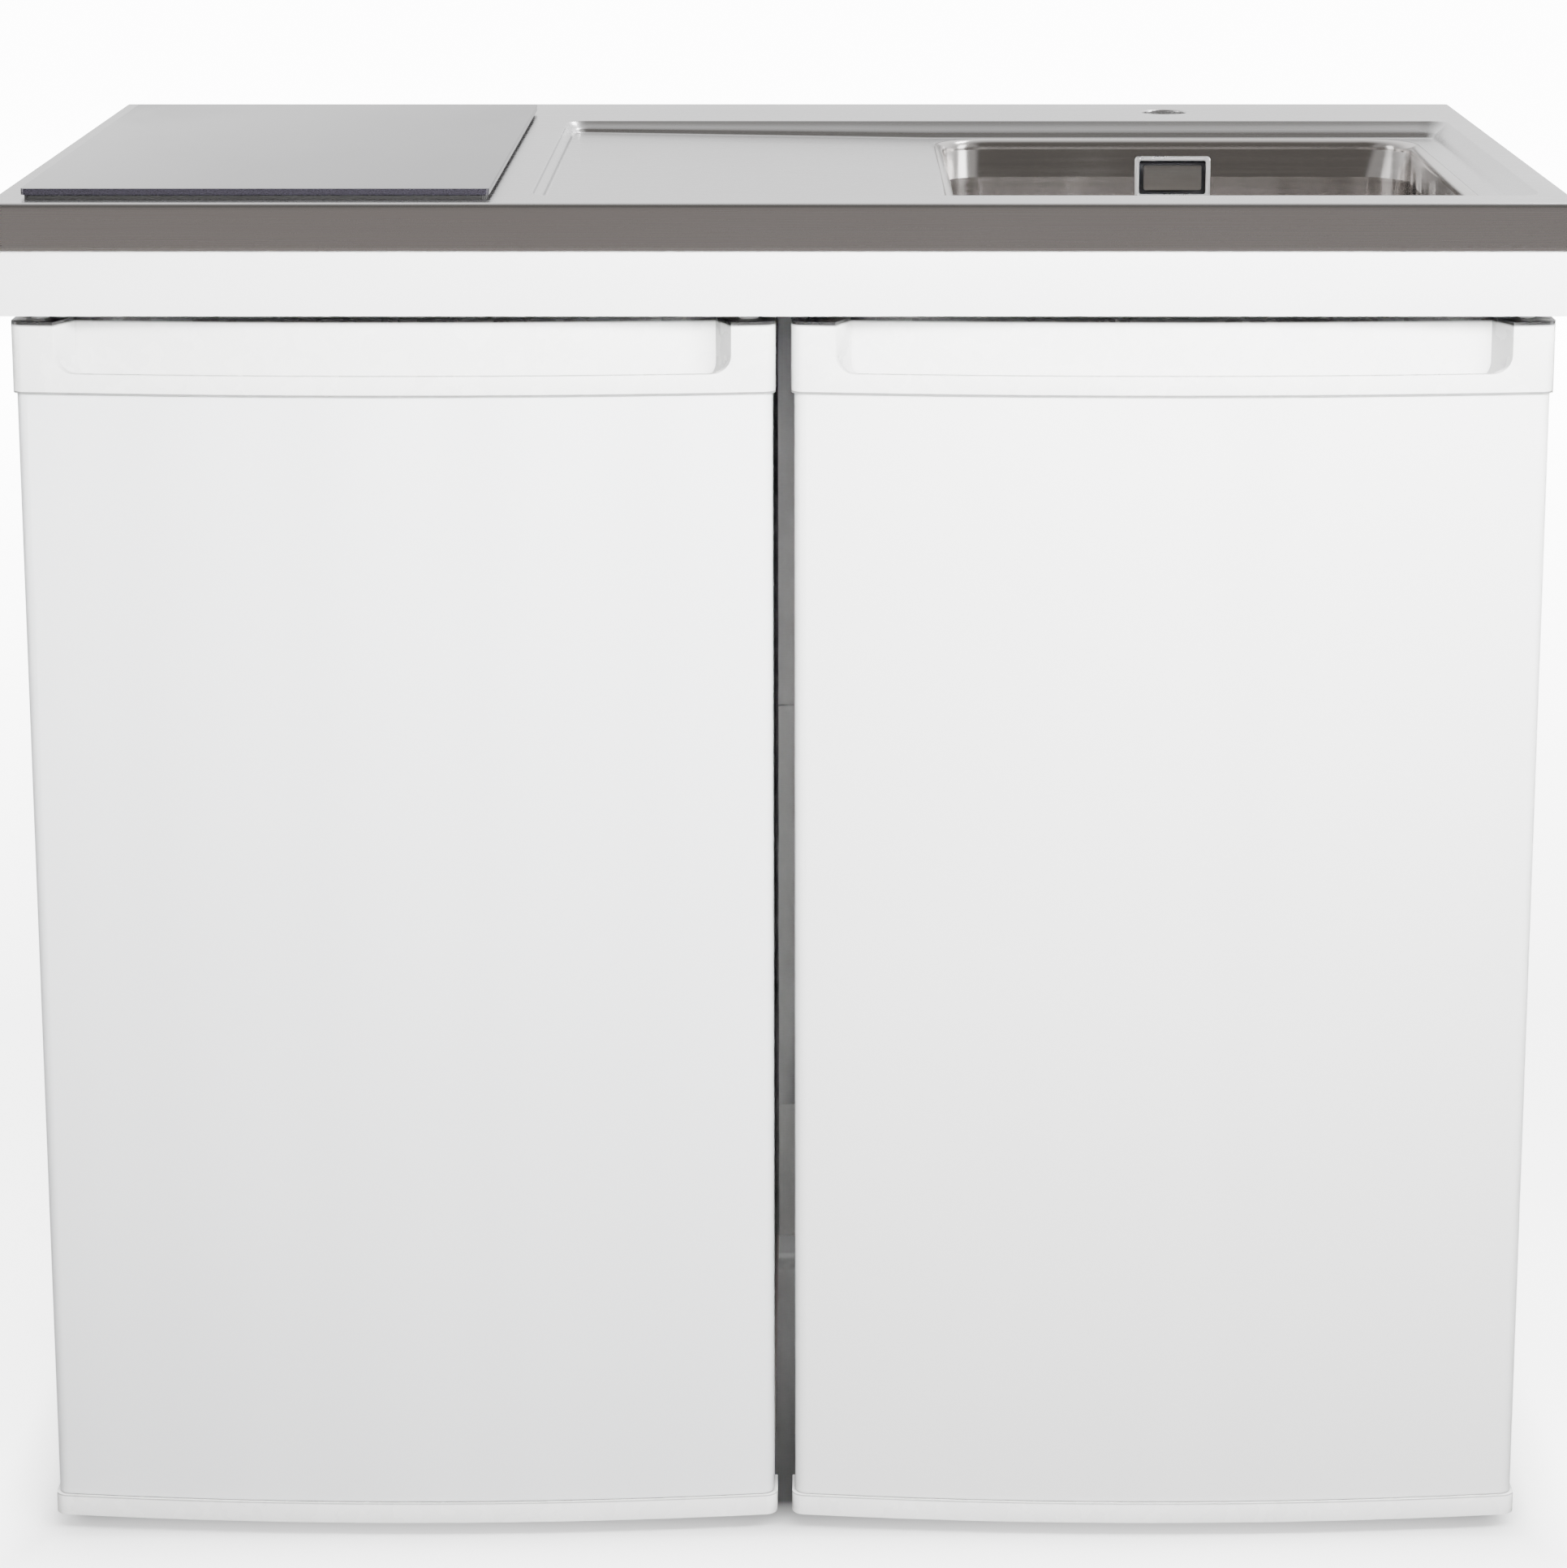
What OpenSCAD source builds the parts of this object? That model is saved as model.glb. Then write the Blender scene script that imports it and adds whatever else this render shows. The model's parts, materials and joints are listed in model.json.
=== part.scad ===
// Kitchenette unit: a steel worktop with a sink and a hob, on a refrigerator and a sink cupboard.
// Origin: centre of the footprint on the floor. X runs to the right, Y to the back, Z up. Millimetres.

/* [Worktop] */
// Width of the worktop
top_w = 1000; // [980:5:1100]
// Depth of the worktop
top_d = 600; // [596:2:640]
// Height of the worktop above the floor
top_z = 900; // [890:5:950]
// Height of the folded steel band around the worktop
band_h = 30; // [26:1:40]
// Thickness of the stainless sheet
sheet_t = 1.2; // [0.8:0.1:1.6]
// Radius of the fold at the worktop's upper edges
nose_r = 3; // [2.5:0.5:6]
// Radius of the tap hole
tap_r = 17.5; // [16:0.5:18]
// Tap hole centre to the worktop's back edge
tap_back = 57; // [50:1:66]
// Thickness of the plate that stiffens the tap hole
tap_plate_t = 3; // [2:0.5:5]

/* [Pressed recess] */
// Drainer recess to the hob glass
recess_gap = 25; // [20:1:60]
// Recess to the worktop's back edge
recess_back = 120; // [110:5:140]
// Recess to the worktop's right edge
recess_side = 20; // [16:1:30]
// Recess to the worktop's front edge
recess_front = 40; // [38:1:48]
// Drop from the worktop to the floor around the bowl
recess_h = 12; // [8:0.5:13]
// How much higher the drainer's far end is
drainer_rise = 4; // [1:0.5:5]
// Run of the recess's sloped walls
recess_slope = 8; // [5:0.5:10]
// Corner radius of the recess
recess_r = 14; // [12:1:20]

/* [Bowl] */
// Width of the bowl
bowl_w = 338; // [300:1:345]
// Bowl wall to the recess's back edge
bowl_back = 24; // [22:1:60]
// Height of the bowl below the recess floor
bowl_h = 160; // [130:5:200]
// Corner radius of the bowl in plan
bowl_r = 36; // [25:1:60]
// Radius between the bowl's walls and its floor
bowl_floor_r = 14; // [8:1:20]
// Radius of the rolled rim
rim_r = 5; // [4:0.5:9]
// Bowl wall to the recess's right edge
bowl_side = 31; // [28:1:44]
// Bowl wall to the recess's front edge
bowl_front = 26; // [24:1:34]
// Width of the overflow frame
overflow_w = 55; // [48:1:64]
// Height of the overflow frame
overflow_h = 31; // [26:1:36]
// Overflow frame's top edge below the recess floor
overflow_drop = 11; // [9:1:30]
// Bore radius of the basket waste
waste_r = 43; // [38:1:46]
// Outside radius of the drain pipe
drain_r = 20; // [16:1:20]
// Drain pipe's end to the worktop's back edge
drain_end = 5; // [2:1:30]

/* [Hob] */
// Width of the hob glass
hob_w = 295; // [280:5:300]
// Depth of the hob glass
hob_d = 510; // [490:5:520]
// Hob glass to the worktop's left edge
hob_side = 20; // [18:1:26]
// Hob glass to the worktop's front edge
hob_front = 17; // [15:1:30]
// Thickness of the hob glass
glass_t = 4; // [3:0.5:6]
// Height of the seal under the glass
seal_t = 3; // [2:0.5:4]
// Depth of the pan under the glass
pan_h = 44; // [40:1:50]
// Glass edge to the pan's side
pan_inset = 14; // [12:1:20]
// Radius of the front heater
heater_front_r = 75; // [65:1:80]
// Radius of the rear heater
heater_rear_r = 95; // [85:1:100]

/* [Apron frame] */
// Height of the white frame under the worktop
apron_h = 42; // [38:1:60]
// How far the frame stands back from the worktop's edges
apron_inset = 4; // [3:0.5:6]
// Width of the frame's flanges
apron_flange = 20; // [16:1:21]
// Thickness of the frame's steel
apron_t = 1.5; // [1:0.1:2]
// Width of the frame's middle rail
mid_rail_w = 48; // [44:2:56]

/* [Doors] */
// Worktop's end to the door
door_side = 10; // [6:1:12]
// Gap between the two doors
door_gap = 10; // [8:1:14]
// Worktop's front to the foremost line of the doors
door_inset = 2; // [1:0.5:3]
// Thickness of a door at its middle
door_t = 50; // [48:0.5:51]
// Thickness of a door panel's steel sheet
panel_t = 1; // [0.6:0.1:1.5]
// How far a door's face bows forward
door_bow = 15; // [8:1:16]
// Radius of a door's upright front edges
edge_r = 9; // [5:0.5:12]
// Door to the floor
door_foot = 14; // [12:1:24]
// Gap above the doors
door_head = 5.4; // [4.2:0.1:6]
// Height of the top cap
cap_h = 46; // [42:1:56]
// Height of the bottom cap
foot_cap_h = 14; // [14:1:20]
// How far the caps stand proud of the panel
cap_proud = 2; // [0.5:0.5:3]
// Open seam between a cap and the panel
cap_seam = 0.3; // [0.2:0.1:0.6]
// Door's side to the grip pocket
grip_side = 28; // [27:1:60]
// Depth of the grip pocket
grip_depth = 25; // [20:1:28]
// Height of the grip's front lip above the seam
lip_h = 13; // [11:0.5:16]
// Thickness of the grip's front lip
lip_t = 5; // [4:0.5:7]
// Angle of the grip pocket's drafted ends
grip_draft = 23; // [10:1:30]
// Corner radius of the grip pocket
grip_r = 12; // [6:1:12]
// Height of the pocket's floor above the seam
grip_floor = 5; // [4:0.5:7]
// Thickness of the seal between a door and its cabinet
gasket_t = 10; // [9.5:0.5:10.5]
// Width of that seal
gasket_w = 14; // [10:1:16]

/* [Hinges] */
// Door's side to the hinge pin
hinge_side = 17; // [16:0.5:18]
// Worktop's front to the hinge pins
hinge_back = 35; // [34:0.5:36]
// Radius of a hinge pin
pin_r = 4; // [3:0.25:4.5]
// Radial clearance of a pin in its bush
pin_fit = 0.05; // [0.02:0.01:0.1]
// Length of a hinge pin in its bush
pin_l = 11; // [8:0.5:12]
// Wall of a hinge bush
bush_t = 2; // [1.5:0.25:2.5]
// Width of the top hinge's arm
hinge_arm_w = 10.6; // [10:0.2:14]

/* [Cabinets] */
// Cabinet side to the door's side
cab_inset = 2.5; // [2:0.5:4]
// Cabinets' back to the worktop's back edge
cab_back_gap = 48; // [44:1:56]
// Height of the recessed toe
toe_h = 46; // [40:1:60]
// Depth of the recessed toe
toe_d = 38; // [30:1:50]
// Thickness of the steel outer skin
skin_t = 1; // [0.6:0.1:1.5]
// Running gap between moving and fixed pieces
run_gap = 0.4; // [0.3:0.05:0.6]

/* [Refrigerator] */
// Insulation at the sides
foam_side = 38; // [34:1:44]
// Insulation at the top
foam_top = 38; // [34:1:50]
// Insulation at the back
foam_back = 45; // [40:1:55]
// Insulation under the inside floor
foam_floor = 45; // [40:1:50]
// Thickness of the plastic inner liner
liner_t = 2; // [1.5:0.25:3]
// Depth of the compressor niche
niche_d = 165; // [160:1:175]
// Height of the compressor niche
niche_h = 180; // [175:1:190]
// Height of the shelf ledges above the step in the liner
shelf_gap = 120; // [100:5:125]
// Height of the icebox
icebox_h = 145; // [130:1:150]
// Depth of the icebox
icebox_d = 185; // [160:5:200]
// Thickness of the glass shelves
shelf_t = 4; // [3:0.5:5]
// Inside of the closed door to the shelves
shelf_front = 98; // [92:1:120]
// Depth of the door bins
bin_d = 85; // [60:1:88]
// Radius of the compressor
compressor_r = 72; // [60:1:74]
// Thickness of the toe grille
grille_t = 3; // [2:0.5:5]

/* [Sink cupboard] */
// Thickness of the folded side walls
wall_t = 30; // [28:1:32]
// Thickness of the floor, the shelf and the rear rail
board_t = 16; // [12:1:20]
// Thickness of the back panel
back_t = 4; // [3:0.5:6]
// Height of the back panel above the cupboard floor
back_h = 480; // [400:10:500]
// Height of the shelf above the cupboard floor
shelf_h = 240; // [180:5:280]
// Thickness of the plate that ties the two cabinets at the back
tie_t = 2; // [1.5:0.5:3]

/* [Screws] */
// Radius of the screws
screw_r = 2.4; // [1.5:0.1:2.6]
// Length of the screws
screw_l = 16; // [10:1:20]
// Radius of the countersunk heads
screw_head_r = 4.2; // [3.5:0.1:4.6]

/* [Hidden] */
$fn = 48;
bow_fn = 720;
cut = 1;
touch_gap = 0.3;
weld_gap = 0.1;

front = -top_d / 2;
back = top_d / 2;
band_z = top_z - band_h;
frame_z = band_z - apron_h;

hob_x = -top_w / 2 + hob_side + hob_w / 2;
recess_x = [hob_x + hob_w / 2 + recess_gap, top_w / 2 - recess_side];
recess_y = [front + recess_front, back - recess_back];
recess_z = top_z - recess_h;
bowl_d = recess_y[1] - recess_y[0] - bowl_front - bowl_back;
bowl_x = recess_x[1] - bowl_side - bowl_w / 2;
bowl_y = recess_y[0] + bowl_front + bowl_d / 2;
bowl_z = recess_z - bowl_h;
tap_x = bowl_x;
tap_y = back - tap_back;

hob_y = front + hob_front + hob_d / 2;
glass_z = top_z + seal_t;
pan_w = hob_w - 2 * pan_inset;
pan_d = hob_d - 2 * pan_inset;
pan_z = glass_z - pan_h;
pan_gap = 2;

door_w = (top_w - 2 * door_side - door_gap) / 2;
door_top = frame_z - door_head;
door_back = front + door_inset + door_t;
seam_z = door_top - cap_h;
foot_seam_z = door_foot + foot_cap_h;
bow_r = (pow(door_w / 2, 2) + pow(door_bow, 2)) / (2 * door_bow);
bow_y = front + door_inset + bow_r;
hinge_x = door_w / 2 - hinge_side;
hinge_y = front + hinge_back;

unit_x = (door_gap + door_w) / 2;
cab_w = door_w - 2 * cab_inset;
cab_front = door_back + gasket_t;
cab_back = back - cab_back_gap;
cab_top = door_top + run_gap;
cab_base = door_foot - run_gap;
toe_top = cab_base + toe_h;
toe_front = cab_front + toe_d;
hinge_plate_t = 3.2;

cavity_w = cab_w - 2 * (skin_t + foam_side);
inside_w = cavity_w - 2 * liner_t;
cavity_back = cab_back - foam_back;
inside_back = cavity_back - liner_t;
floor_z = toe_top + foam_floor + liner_t;
ceiling_z = cab_top - skin_t - foam_top - liner_t;
niche_y = cab_back - niche_d;
step_y = niche_y - foam_side - liner_t;
step_z = toe_top + niche_h + foam_side + liner_t;
shelves_y = [door_back + shelf_front, inside_back - touch_gap];
lower_shelf_z = step_z + shelf_gap;
upper_shelf_z = lower_shelf_z + shelf_gap;
ledge_h = 6;
ledge_w = 9;
icebox_front = inside_back - icebox_d;
icebox_z = ceiling_z - icebox_h;

foot_h = cab_base;
foot_r = 16;
foot_disc_h = 5;

gasket_x = door_w / 2 - hinge_side - 0.5;
gasket_z = [toe_top + 16, cab_top - 15];

tab_l = 50;
tab_x = (unit_x - cab_w / 2 + mid_rail_w / 2 + 2) / 2;
rail_foot_w = 34;

waste_wall = 2;
cup_h = 44;
tail_h = 70;
trap_z = bowl_z - tail_h;
outlet_z = trap_z - 12;
socket_l = 62;
spigot_r = drain_r - 0.3;
spigot_l = 24;

overflow_frame_t = 2.5;
overflow_bar = 3.5;
overflow_slot = 3;
overflow_hole = [overflow_w - 2 * overflow_bar, overflow_h - 2 * overflow_bar];
overflow_mid = bowl_h - overflow_drop - overflow_h / 2;
overflow_box_d = 22;
hose_r = 11;
hose_bend = 30;
hose_y = bowl_y + bowl_d / 2 + overflow_box_d / 2 + sheet_t;
hose_top = bowl_z + overflow_mid - overflow_h / 2 - 3 - touch_gap;
port_z = bowl_z - 25;
port_l = 14;

hob_control_d = 58;
heater_gap = 12;
heaters_y = [hob_y - pan_d / 2 + hob_control_d + heater_front_r,
             hob_y - pan_d / 2 + hob_control_d + 2 * heater_front_r + heater_gap + heater_rear_r];

crisper_w = inside_w - 2 * ledge_w - 6;
crisper_y = [shelves_y[0] + 2, step_y - 6];
crisper_z = [floor_z + run_gap, step_z - ledge_h - 4];

icebox_frame_d = 12;
flap_hinge_z = ceiling_z - 20;
flap_y = icebox_front - icebox_frame_d + 5;
flap_w = inside_w - 48;
flap_pin_r = 2.5;

control_x = inside_w / 2 - 46;
control_y = [shelves_y[0] + 24, shelves_y[0] + 134];
control_z = [icebox_z - 78, icebox_z - 14];
knob_at = [control_y[0] + 30, (control_z[0] + control_z[1]) / 2];
knob_r = 17;
knob_h = 12;
spindle_r = 3;

compressor_at = [70, cab_back - niche_d / 2 + 4];
compressor_h = niche_h - 40;
niche_plate_z = toe_top - 2;

coil_y = cab_back + 14;
coil_x = cab_w / 2 - 34;
coil_pitch = 50;
coil_runs = 10;
coil_z = toe_top + niche_h + 40;
tube_r = 2.6;

dike_x = inside_w / 2 - 20;
dike_w = 20;
dike_low = step_z + 12;
dike_high = ceiling_z - 18;
bin_y = [door_back + gasket_t - 2 + run_gap, door_back + bin_d];
bins_h = [96, 62, 62];
bin_step = (dike_high - dike_low - 10 - bins_h[2]) / 2;
bins_z = [for (i = [0:2]) dike_low + 10 + bin_step * i];

shelf_z = toe_top + board_t + shelf_h;
shelf_pin_r = 2.5;
shelf_pin_y = [cab_front + 60, cab_back - 120];

// Screws: the middle of each head's face, by the way the screw points.
screw_head_h = 1.8;
hinge_screw_y = [cab_front + 14, cab_front + 36];
tie_z = [toe_top + 60, (toe_top + cab_top) / 2, cab_top - 60];
tie_screw_x = 24;
screws_down = concat(
    [for (s = [-1, 1], y = hinge_screw_y) [s * (unit_x + hinge_x - 6), y, cab_top + hinge_plate_t]],
    [for (s = [-1, 1]) [s * tab_x, cab_front + tab_l / 2, frame_z + apron_t]]);
screws_up = [for (s = [-1, 1]) [s * (unit_x + hinge_x), toe_front + 5, cab_base - 4]];
screws_forward = [for (s = [-1, 1], z = tie_z) [s * tie_screw_x, cab_back + tie_t, z]];

// A block between two corners, each given as a range.
module block(x, y, z)
    translate([x[0], y[0], z[0]]) cube([x[1] - x[0], y[1] - y[0], z[1] - z[0]]);

// A flat rectangle with round corners, centred.
module round_rect(w, d, r) {
    square([w - 2 * r, d], center = true);
    square([w, d - 2 * r], center = true);
    for (sx = [-1, 1], sy = [-1, 1]) translate([sx * (w / 2 - r), sy * (d / 2 - r)]) circle(r);
}

module slab(w, d, h, r) linear_extrude(h) round_rect(w, d, r);

// Carries a profile around a rounded rectangle. The profile's x is 0 on the rectangle's line.
module around_rect(w, d, r) {
    for (q = [0:3])
        translate([(q == 0 || q == 3 ? 1 : -1) * (w / 2 - r), (q < 2 ? 1 : -1) * (d / 2 - r), 0])
            rotate([0, 0, 90 * q]) rotate_extrude(angle = 90) translate([r, 0]) children();
    for (s = [0:3]) {
        run = (s % 2 == 0 ? d : w) - 2 * r;
        reach = (s % 2 == 0 ? w : d) / 2;
        rotate([0, 0, 90 * s]) translate([reach, run / 2, 0]) rotate([90, 0, 0])
            linear_extrude(run) children();
    }
}

// A quarter of a flat ring in the quadrant that starts at angle a.
module quarter_ring(r_out, r_in, a) intersection() {
    difference() {
        circle(r_out);
        circle(r_in);
    }
    rotate(a) square(r_out + cut);
}

function unit(v) = v / norm(v);

// Points of the arc that rounds corner b between a and c with radius r.
function corner_arc(a, b, c, r, n) =
    let (u = unit(a - b), v = unit(c - b), half = acos(u * v) / 2,
         centre = b + unit(u + v) * r / sin(half),
         from = b + u * r / tan(half) - centre,
         turn = (180 - 2 * half) * sign(u[1] * v[0] - u[0] * v[1]))
    [for (i = [0:n]) let (a = -turn * i / n)
        centre + [from[0] * cos(a) + from[1] * sin(a), from[1] * cos(a) - from[0] * sin(a)]];

module at_fridge() translate([-unit_x, 0, 0]) children();
module at_cupboard() translate([unit_x, 0, 0]) children();

module at_screws() {
    for (p = screws_down) translate(p) children();
    for (p = screws_up) translate(p) rotate([180, 0, 0]) children();
    for (p = screws_forward) translate(p) rotate([-90, 0, 0]) children();
}

// A countersunk screw that points down from its head's face, or the hole it sits in.
module screw_shape(grow) {
    translate([0, 0, -screw_head_h])
        cylinder(r1 = screw_r + grow, r2 = screw_head_r + grow, h = screw_head_h);
    translate([0, 0, -screw_l - grow]) cylinder(r = screw_r + grow, h = screw_l + grow - screw_head_h / 2);
}

module screw_holes() at_screws() {
    screw_shape(weld_gap);
    cylinder(r = screw_head_r + weld_gap, h = cut / 2);
}

// ---- Worktop ----

// The recess's shape, grown by a sheet's thickness for its outside. Its floor falls to the bowl.
module recess_shape(grow) {
    x = [recess_x[0] - grow, recess_x[1] + grow];
    y = [recess_y[0] - grow, recess_y[1] + grow];
    low = recess_z - grow;
    far = low + drainer_rise;
    far_run = recess_slope * (top_z - far) / (top_z - low);
    split_x = bowl_x - bowl_w / 2 - rim_r - 4;
    lift = grow > 0 ? 0 : cut;
    over = top_z + cut;
    intersection() {
        translate([0, y[1], 0]) rotate([90, 0, 0]) linear_extrude(y[1] - y[0]) polygon([
            [x[0], over], [x[0], top_z], [x[0] + far_run, far], [split_x, low],
            [x[1] - recess_slope, low], [x[1], top_z], [x[1], over]
        ]);
        translate([x[0], 0, 0]) rotate([90, 0, 90]) linear_extrude(x[1] - x[0]) polygon([
            [y[0], over], [y[0], top_z], [y[0] + recess_slope, low], [y[1] - recess_slope, low],
            [y[1], top_z], [y[1], over]
        ]);
        translate([(x[0] + x[1]) / 2, (y[0] + y[1]) / 2, low - cut])
            slab(x[1] - x[0], y[1] - y[0], top_z + lift - low + cut, recess_r + grow);
    }
}

module tap_hole() translate([tap_x, tap_y, frame_z]) cylinder(r = tap_r, h = top_z - frame_z + cut);

module hob_opening() translate([hob_x, hob_y, frame_z])
    slab(pan_w + 2 * pan_gap, pan_d + 2 * pan_gap, top_z - frame_z + cut, 3);

module worktop_deck() color([0.78, 0.78, 0.79]) difference() {
    union() {
        translate([0, 0, band_z]) around_rect(top_w, top_d, nose_r) {
            translate([-nose_r, band_h - nose_r]) quarter_ring(nose_r, nose_r - sheet_t, 0);
            translate([-sheet_t, 0]) square([sheet_t, band_h - nose_r]);
        }
        block([-top_w / 2 + nose_r, top_w / 2 - nose_r], [front + nose_r, back - nose_r],
              [top_z - sheet_t, top_z]);
        recess_shape(sheet_t);
    }
    recess_shape(0);
    translate([bowl_x, bowl_y, recess_z - 2 * sheet_t])
        slab(bowl_w + 2 * (rim_r + weld_gap), bowl_d + 2 * (rim_r + weld_gap), 3 * sheet_t,
             bowl_r + rim_r + weld_gap);
    hob_opening();
    tap_hole();
}

// One board of the core, with half a joint's width off each long side.
module core_board(x, y)
    block([x[0] + run_gap / 2, x[1] - run_gap / 2], [y[0] + run_gap / 2, y[1] - run_gap / 2],
          [band_z, top_z - sheet_t]);

module worktop_core() color([0.76, 0.63, 0.45]) difference() {
    x = [-top_w / 2 + nose_r, hob_x - pan_w / 2 - pan_gap, hob_x + pan_w / 2 + pan_gap,
         recess_x[0] - 2 * sheet_t, recess_x[1] + 2 * sheet_t, top_w / 2 - nose_r];
    y = [front + nose_r, back - nose_r];
    union() {
        for (i = [0, 2, 4]) core_board([x[i], x[i + 1]], y);
        core_board([x[1], x[2]], [y[0], hob_y - pan_d / 2 - pan_gap]);
        core_board([x[1], x[2]], [hob_y + pan_d / 2 + pan_gap, y[1]]);
        core_board([x[3], x[4]], [y[0], recess_y[0] - 2 * sheet_t]);
        core_board([x[3], x[4]], [recess_y[1] + 2 * sheet_t, y[1]]);
    }
    tap_hole();
}

module tap_plate() color([0.6, 0.6, 0.62]) difference() {
    translate([tap_x, tap_y, band_z - tap_plate_t]) slab(110, 60, tap_plate_t, 6);
    tap_hole();
}

module apron_frame() color([0.95, 0.95, 0.95]) {
    w = top_w - 2 * apron_inset;
    d = top_d - 2 * apron_inset;
    corner_r = 3;
    translate([0, 0, frame_z]) {
        difference() {
            slab(w, d, apron_h, corner_r);
            translate([0, 0, apron_t])
                slab(w - 2 * apron_t, d - 2 * apron_t, apron_h - 2 * apron_t, corner_r - apron_t);
            translate([0, 0, -cut]) slab(w - 2 * apron_flange, d - 2 * apron_flange, apron_h + 2 * cut, 1);
        }
        difference() {
            block([-mid_rail_w / 2, mid_rail_w / 2], [-d / 2 + apron_t, d / 2 - apron_t], [0, apron_h]);
            block([-mid_rail_w / 2 + apron_t, mid_rail_w / 2 - apron_t], [-d / 2, d / 2],
                  [apron_t, apron_h + cut]);
            translate([0, 0, -frame_z]) screw_holes();
        }
    }
}

// Strips that carry the frame on the two cabinets.
module worktop_pads() color([0.2, 0.2, 0.2]) for (s = [-1, 1]) {
    outer = unit_x + cab_w / 2;
    inner = unit_x - cab_w / 2;
    outer_in = top_w / 2 - apron_inset - apron_flange;
    block(s < 0 ? [-outer, -outer_in] : [outer_in, outer],
          [cab_front + tab_l + 10, cab_back - 10], [cab_top, frame_z]);
    block(s < 0 ? [-mid_rail_w / 2, -inner] : [inner, mid_rail_w / 2],
          [cab_front + tab_l + 10, cab_back - 10], [cab_top, frame_z]);
}

// Plates that tie the middle rail to each cabinet's top front edge.
module fixing_tabs() color([0.7, 0.7, 0.7]) for (s = [-1, 1]) {
    inner = unit_x - cab_w / 2;
    difference() {
        block(s < 0 ? [-mid_rail_w / 2, -inner - 2] : [inner + 2, mid_rail_w / 2],
              [cab_front, cab_front + tab_l], [cab_top, frame_z]);
        screw_holes();
    }
}

// ---- Sink ----

module sink_bowl() color([0.7, 0.69, 0.68]) translate([bowl_x, bowl_y, bowl_z]) difference() {
    union() {
        around_rect(bowl_w, bowl_d, bowl_r) {
            translate([0, bowl_floor_r]) square([sheet_t, bowl_h - bowl_floor_r - rim_r]);
            translate([-bowl_floor_r, bowl_floor_r])
                quarter_ring(bowl_floor_r + sheet_t, bowl_floor_r, -90);
            translate([-bowl_floor_r - 1, -sheet_t]) square([1, sheet_t]);
            translate([rim_r, bowl_h - rim_r]) quarter_ring(rim_r, rim_r - sheet_t, 90);
        }
        translate([0, 0, -sheet_t])
            slab(bowl_w - 2 * bowl_floor_r, bowl_d - 2 * bowl_floor_r, sheet_t, bowl_r - bowl_floor_r);
    }
    translate([0, 0, -2 * sheet_t]) cylinder(r = waste_r + waste_wall + 0.2, h = 3 * sheet_t);
    block([-overflow_hole[0] / 2, overflow_hole[0] / 2], [bowl_d / 2 - cut, bowl_d / 2 + 2 * sheet_t],
          [overflow_mid - overflow_hole[1] / 2, overflow_mid + overflow_hole[1] / 2]);
}

module at_overflow() translate([bowl_x, bowl_y + bowl_d / 2, bowl_z + overflow_mid])
    rotate([90, 0, 0]) children();

module overflow_frame() color([0.85, 0.85, 0.86]) at_overflow() difference() {
    slab(overflow_w, overflow_h, overflow_frame_t, 3);
    translate([0, 0, -cut]) slab(overflow_hole[0], overflow_hole[1], overflow_frame_t + 2 * cut, 1.5);
}

// A bare plate that floats in the frame, carried by two posts from the housing behind the wall.
module overflow_cover() color([0.6, 0.59, 0.57]) at_overflow() {
    translate([0, 0, 0.5])
        slab(overflow_hole[0] - 2 * overflow_slot, overflow_hole[1] - 2 * overflow_slot, 2, 1.5);
    for (s = [-1, 1]) translate([s * 12, 0, -overflow_box_d + 2])
        cylinder(r = 2.5, h = overflow_box_d - 1);
}

module overflow_housing() color([0.2, 0.2, 0.21]) difference() {
    union() {
        at_overflow() translate([0, 0, -overflow_box_d]) slab(overflow_w + 8, overflow_h + 6,
                                                             overflow_box_d - sheet_t, 4);
        translate([bowl_x, hose_y, hose_top - 2]) cylinder(r = hose_r - 2.5, h = 20);
    }
    at_overflow() translate([0, 0, -overflow_box_d + 2]) slab(overflow_w + 2, overflow_h, overflow_box_d, 2);
    translate([bowl_x, hose_y, hose_top - 2 * cut]) cylinder(r = hose_r - 4.5, h = 20);
}

// The hose drops behind the bowl and turns forward to the waste.
module hose_route(r, over) {
    port_y = bowl_y + waste_r + waste_wall + port_l;
    translate([bowl_x, hose_y, port_z + hose_bend])
        cylinder(r = r, h = hose_top - port_z - hose_bend + over);
    translate([bowl_x, hose_y - hose_bend, port_z + hose_bend]) rotate([0, 90, 0])
        rotate_extrude(angle = 90) translate([hose_bend, 0]) circle(r);
    translate([bowl_x, port_y - over, port_z]) rotate([-90, 0, 0])
        cylinder(r = r, h = hose_y - hose_bend - port_y + over);
}

module overflow_hose() color([0.8, 0.8, 0.78]) difference() {
    hose_route(hose_r, 0);
    hose_route(hose_r - 2, cut);
}

module waste_body() color([0.75, 0.75, 0.76]) translate([bowl_x, bowl_y, bowl_z]) {
    neck_r = waste_r + waste_wall;
    difference() {
        union() {
            rotate_extrude() polygon([
                [0, -tail_h], [drain_r, -tail_h], [drain_r, -cup_h - 3], [neck_r, -cup_h + 8],
                [neck_r, 0], [waste_r + 13, 0], [waste_r + 13, 1], [waste_r + 11, 2], [0, 2]
            ]);
            translate([0, 0, port_z - bowl_z]) rotate([-90, 0, 0])
                cylinder(r = hose_r - 2.2, h = neck_r + port_l);
        }
        rotate_extrude() polygon([
            [0, -tail_h - cut], [drain_r - 2, -tail_h - cut], [drain_r - 2, -cup_h],
            [waste_r, -cup_h + 11], [waste_r, 2 + cut], [0, 2 + cut]
        ]);
        translate([0, 0, port_z - bowl_z]) rotate([-90, 0, 0])
            cylinder(r = hose_r - 4.2, h = neck_r + port_l + cut);
    }
}

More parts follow.
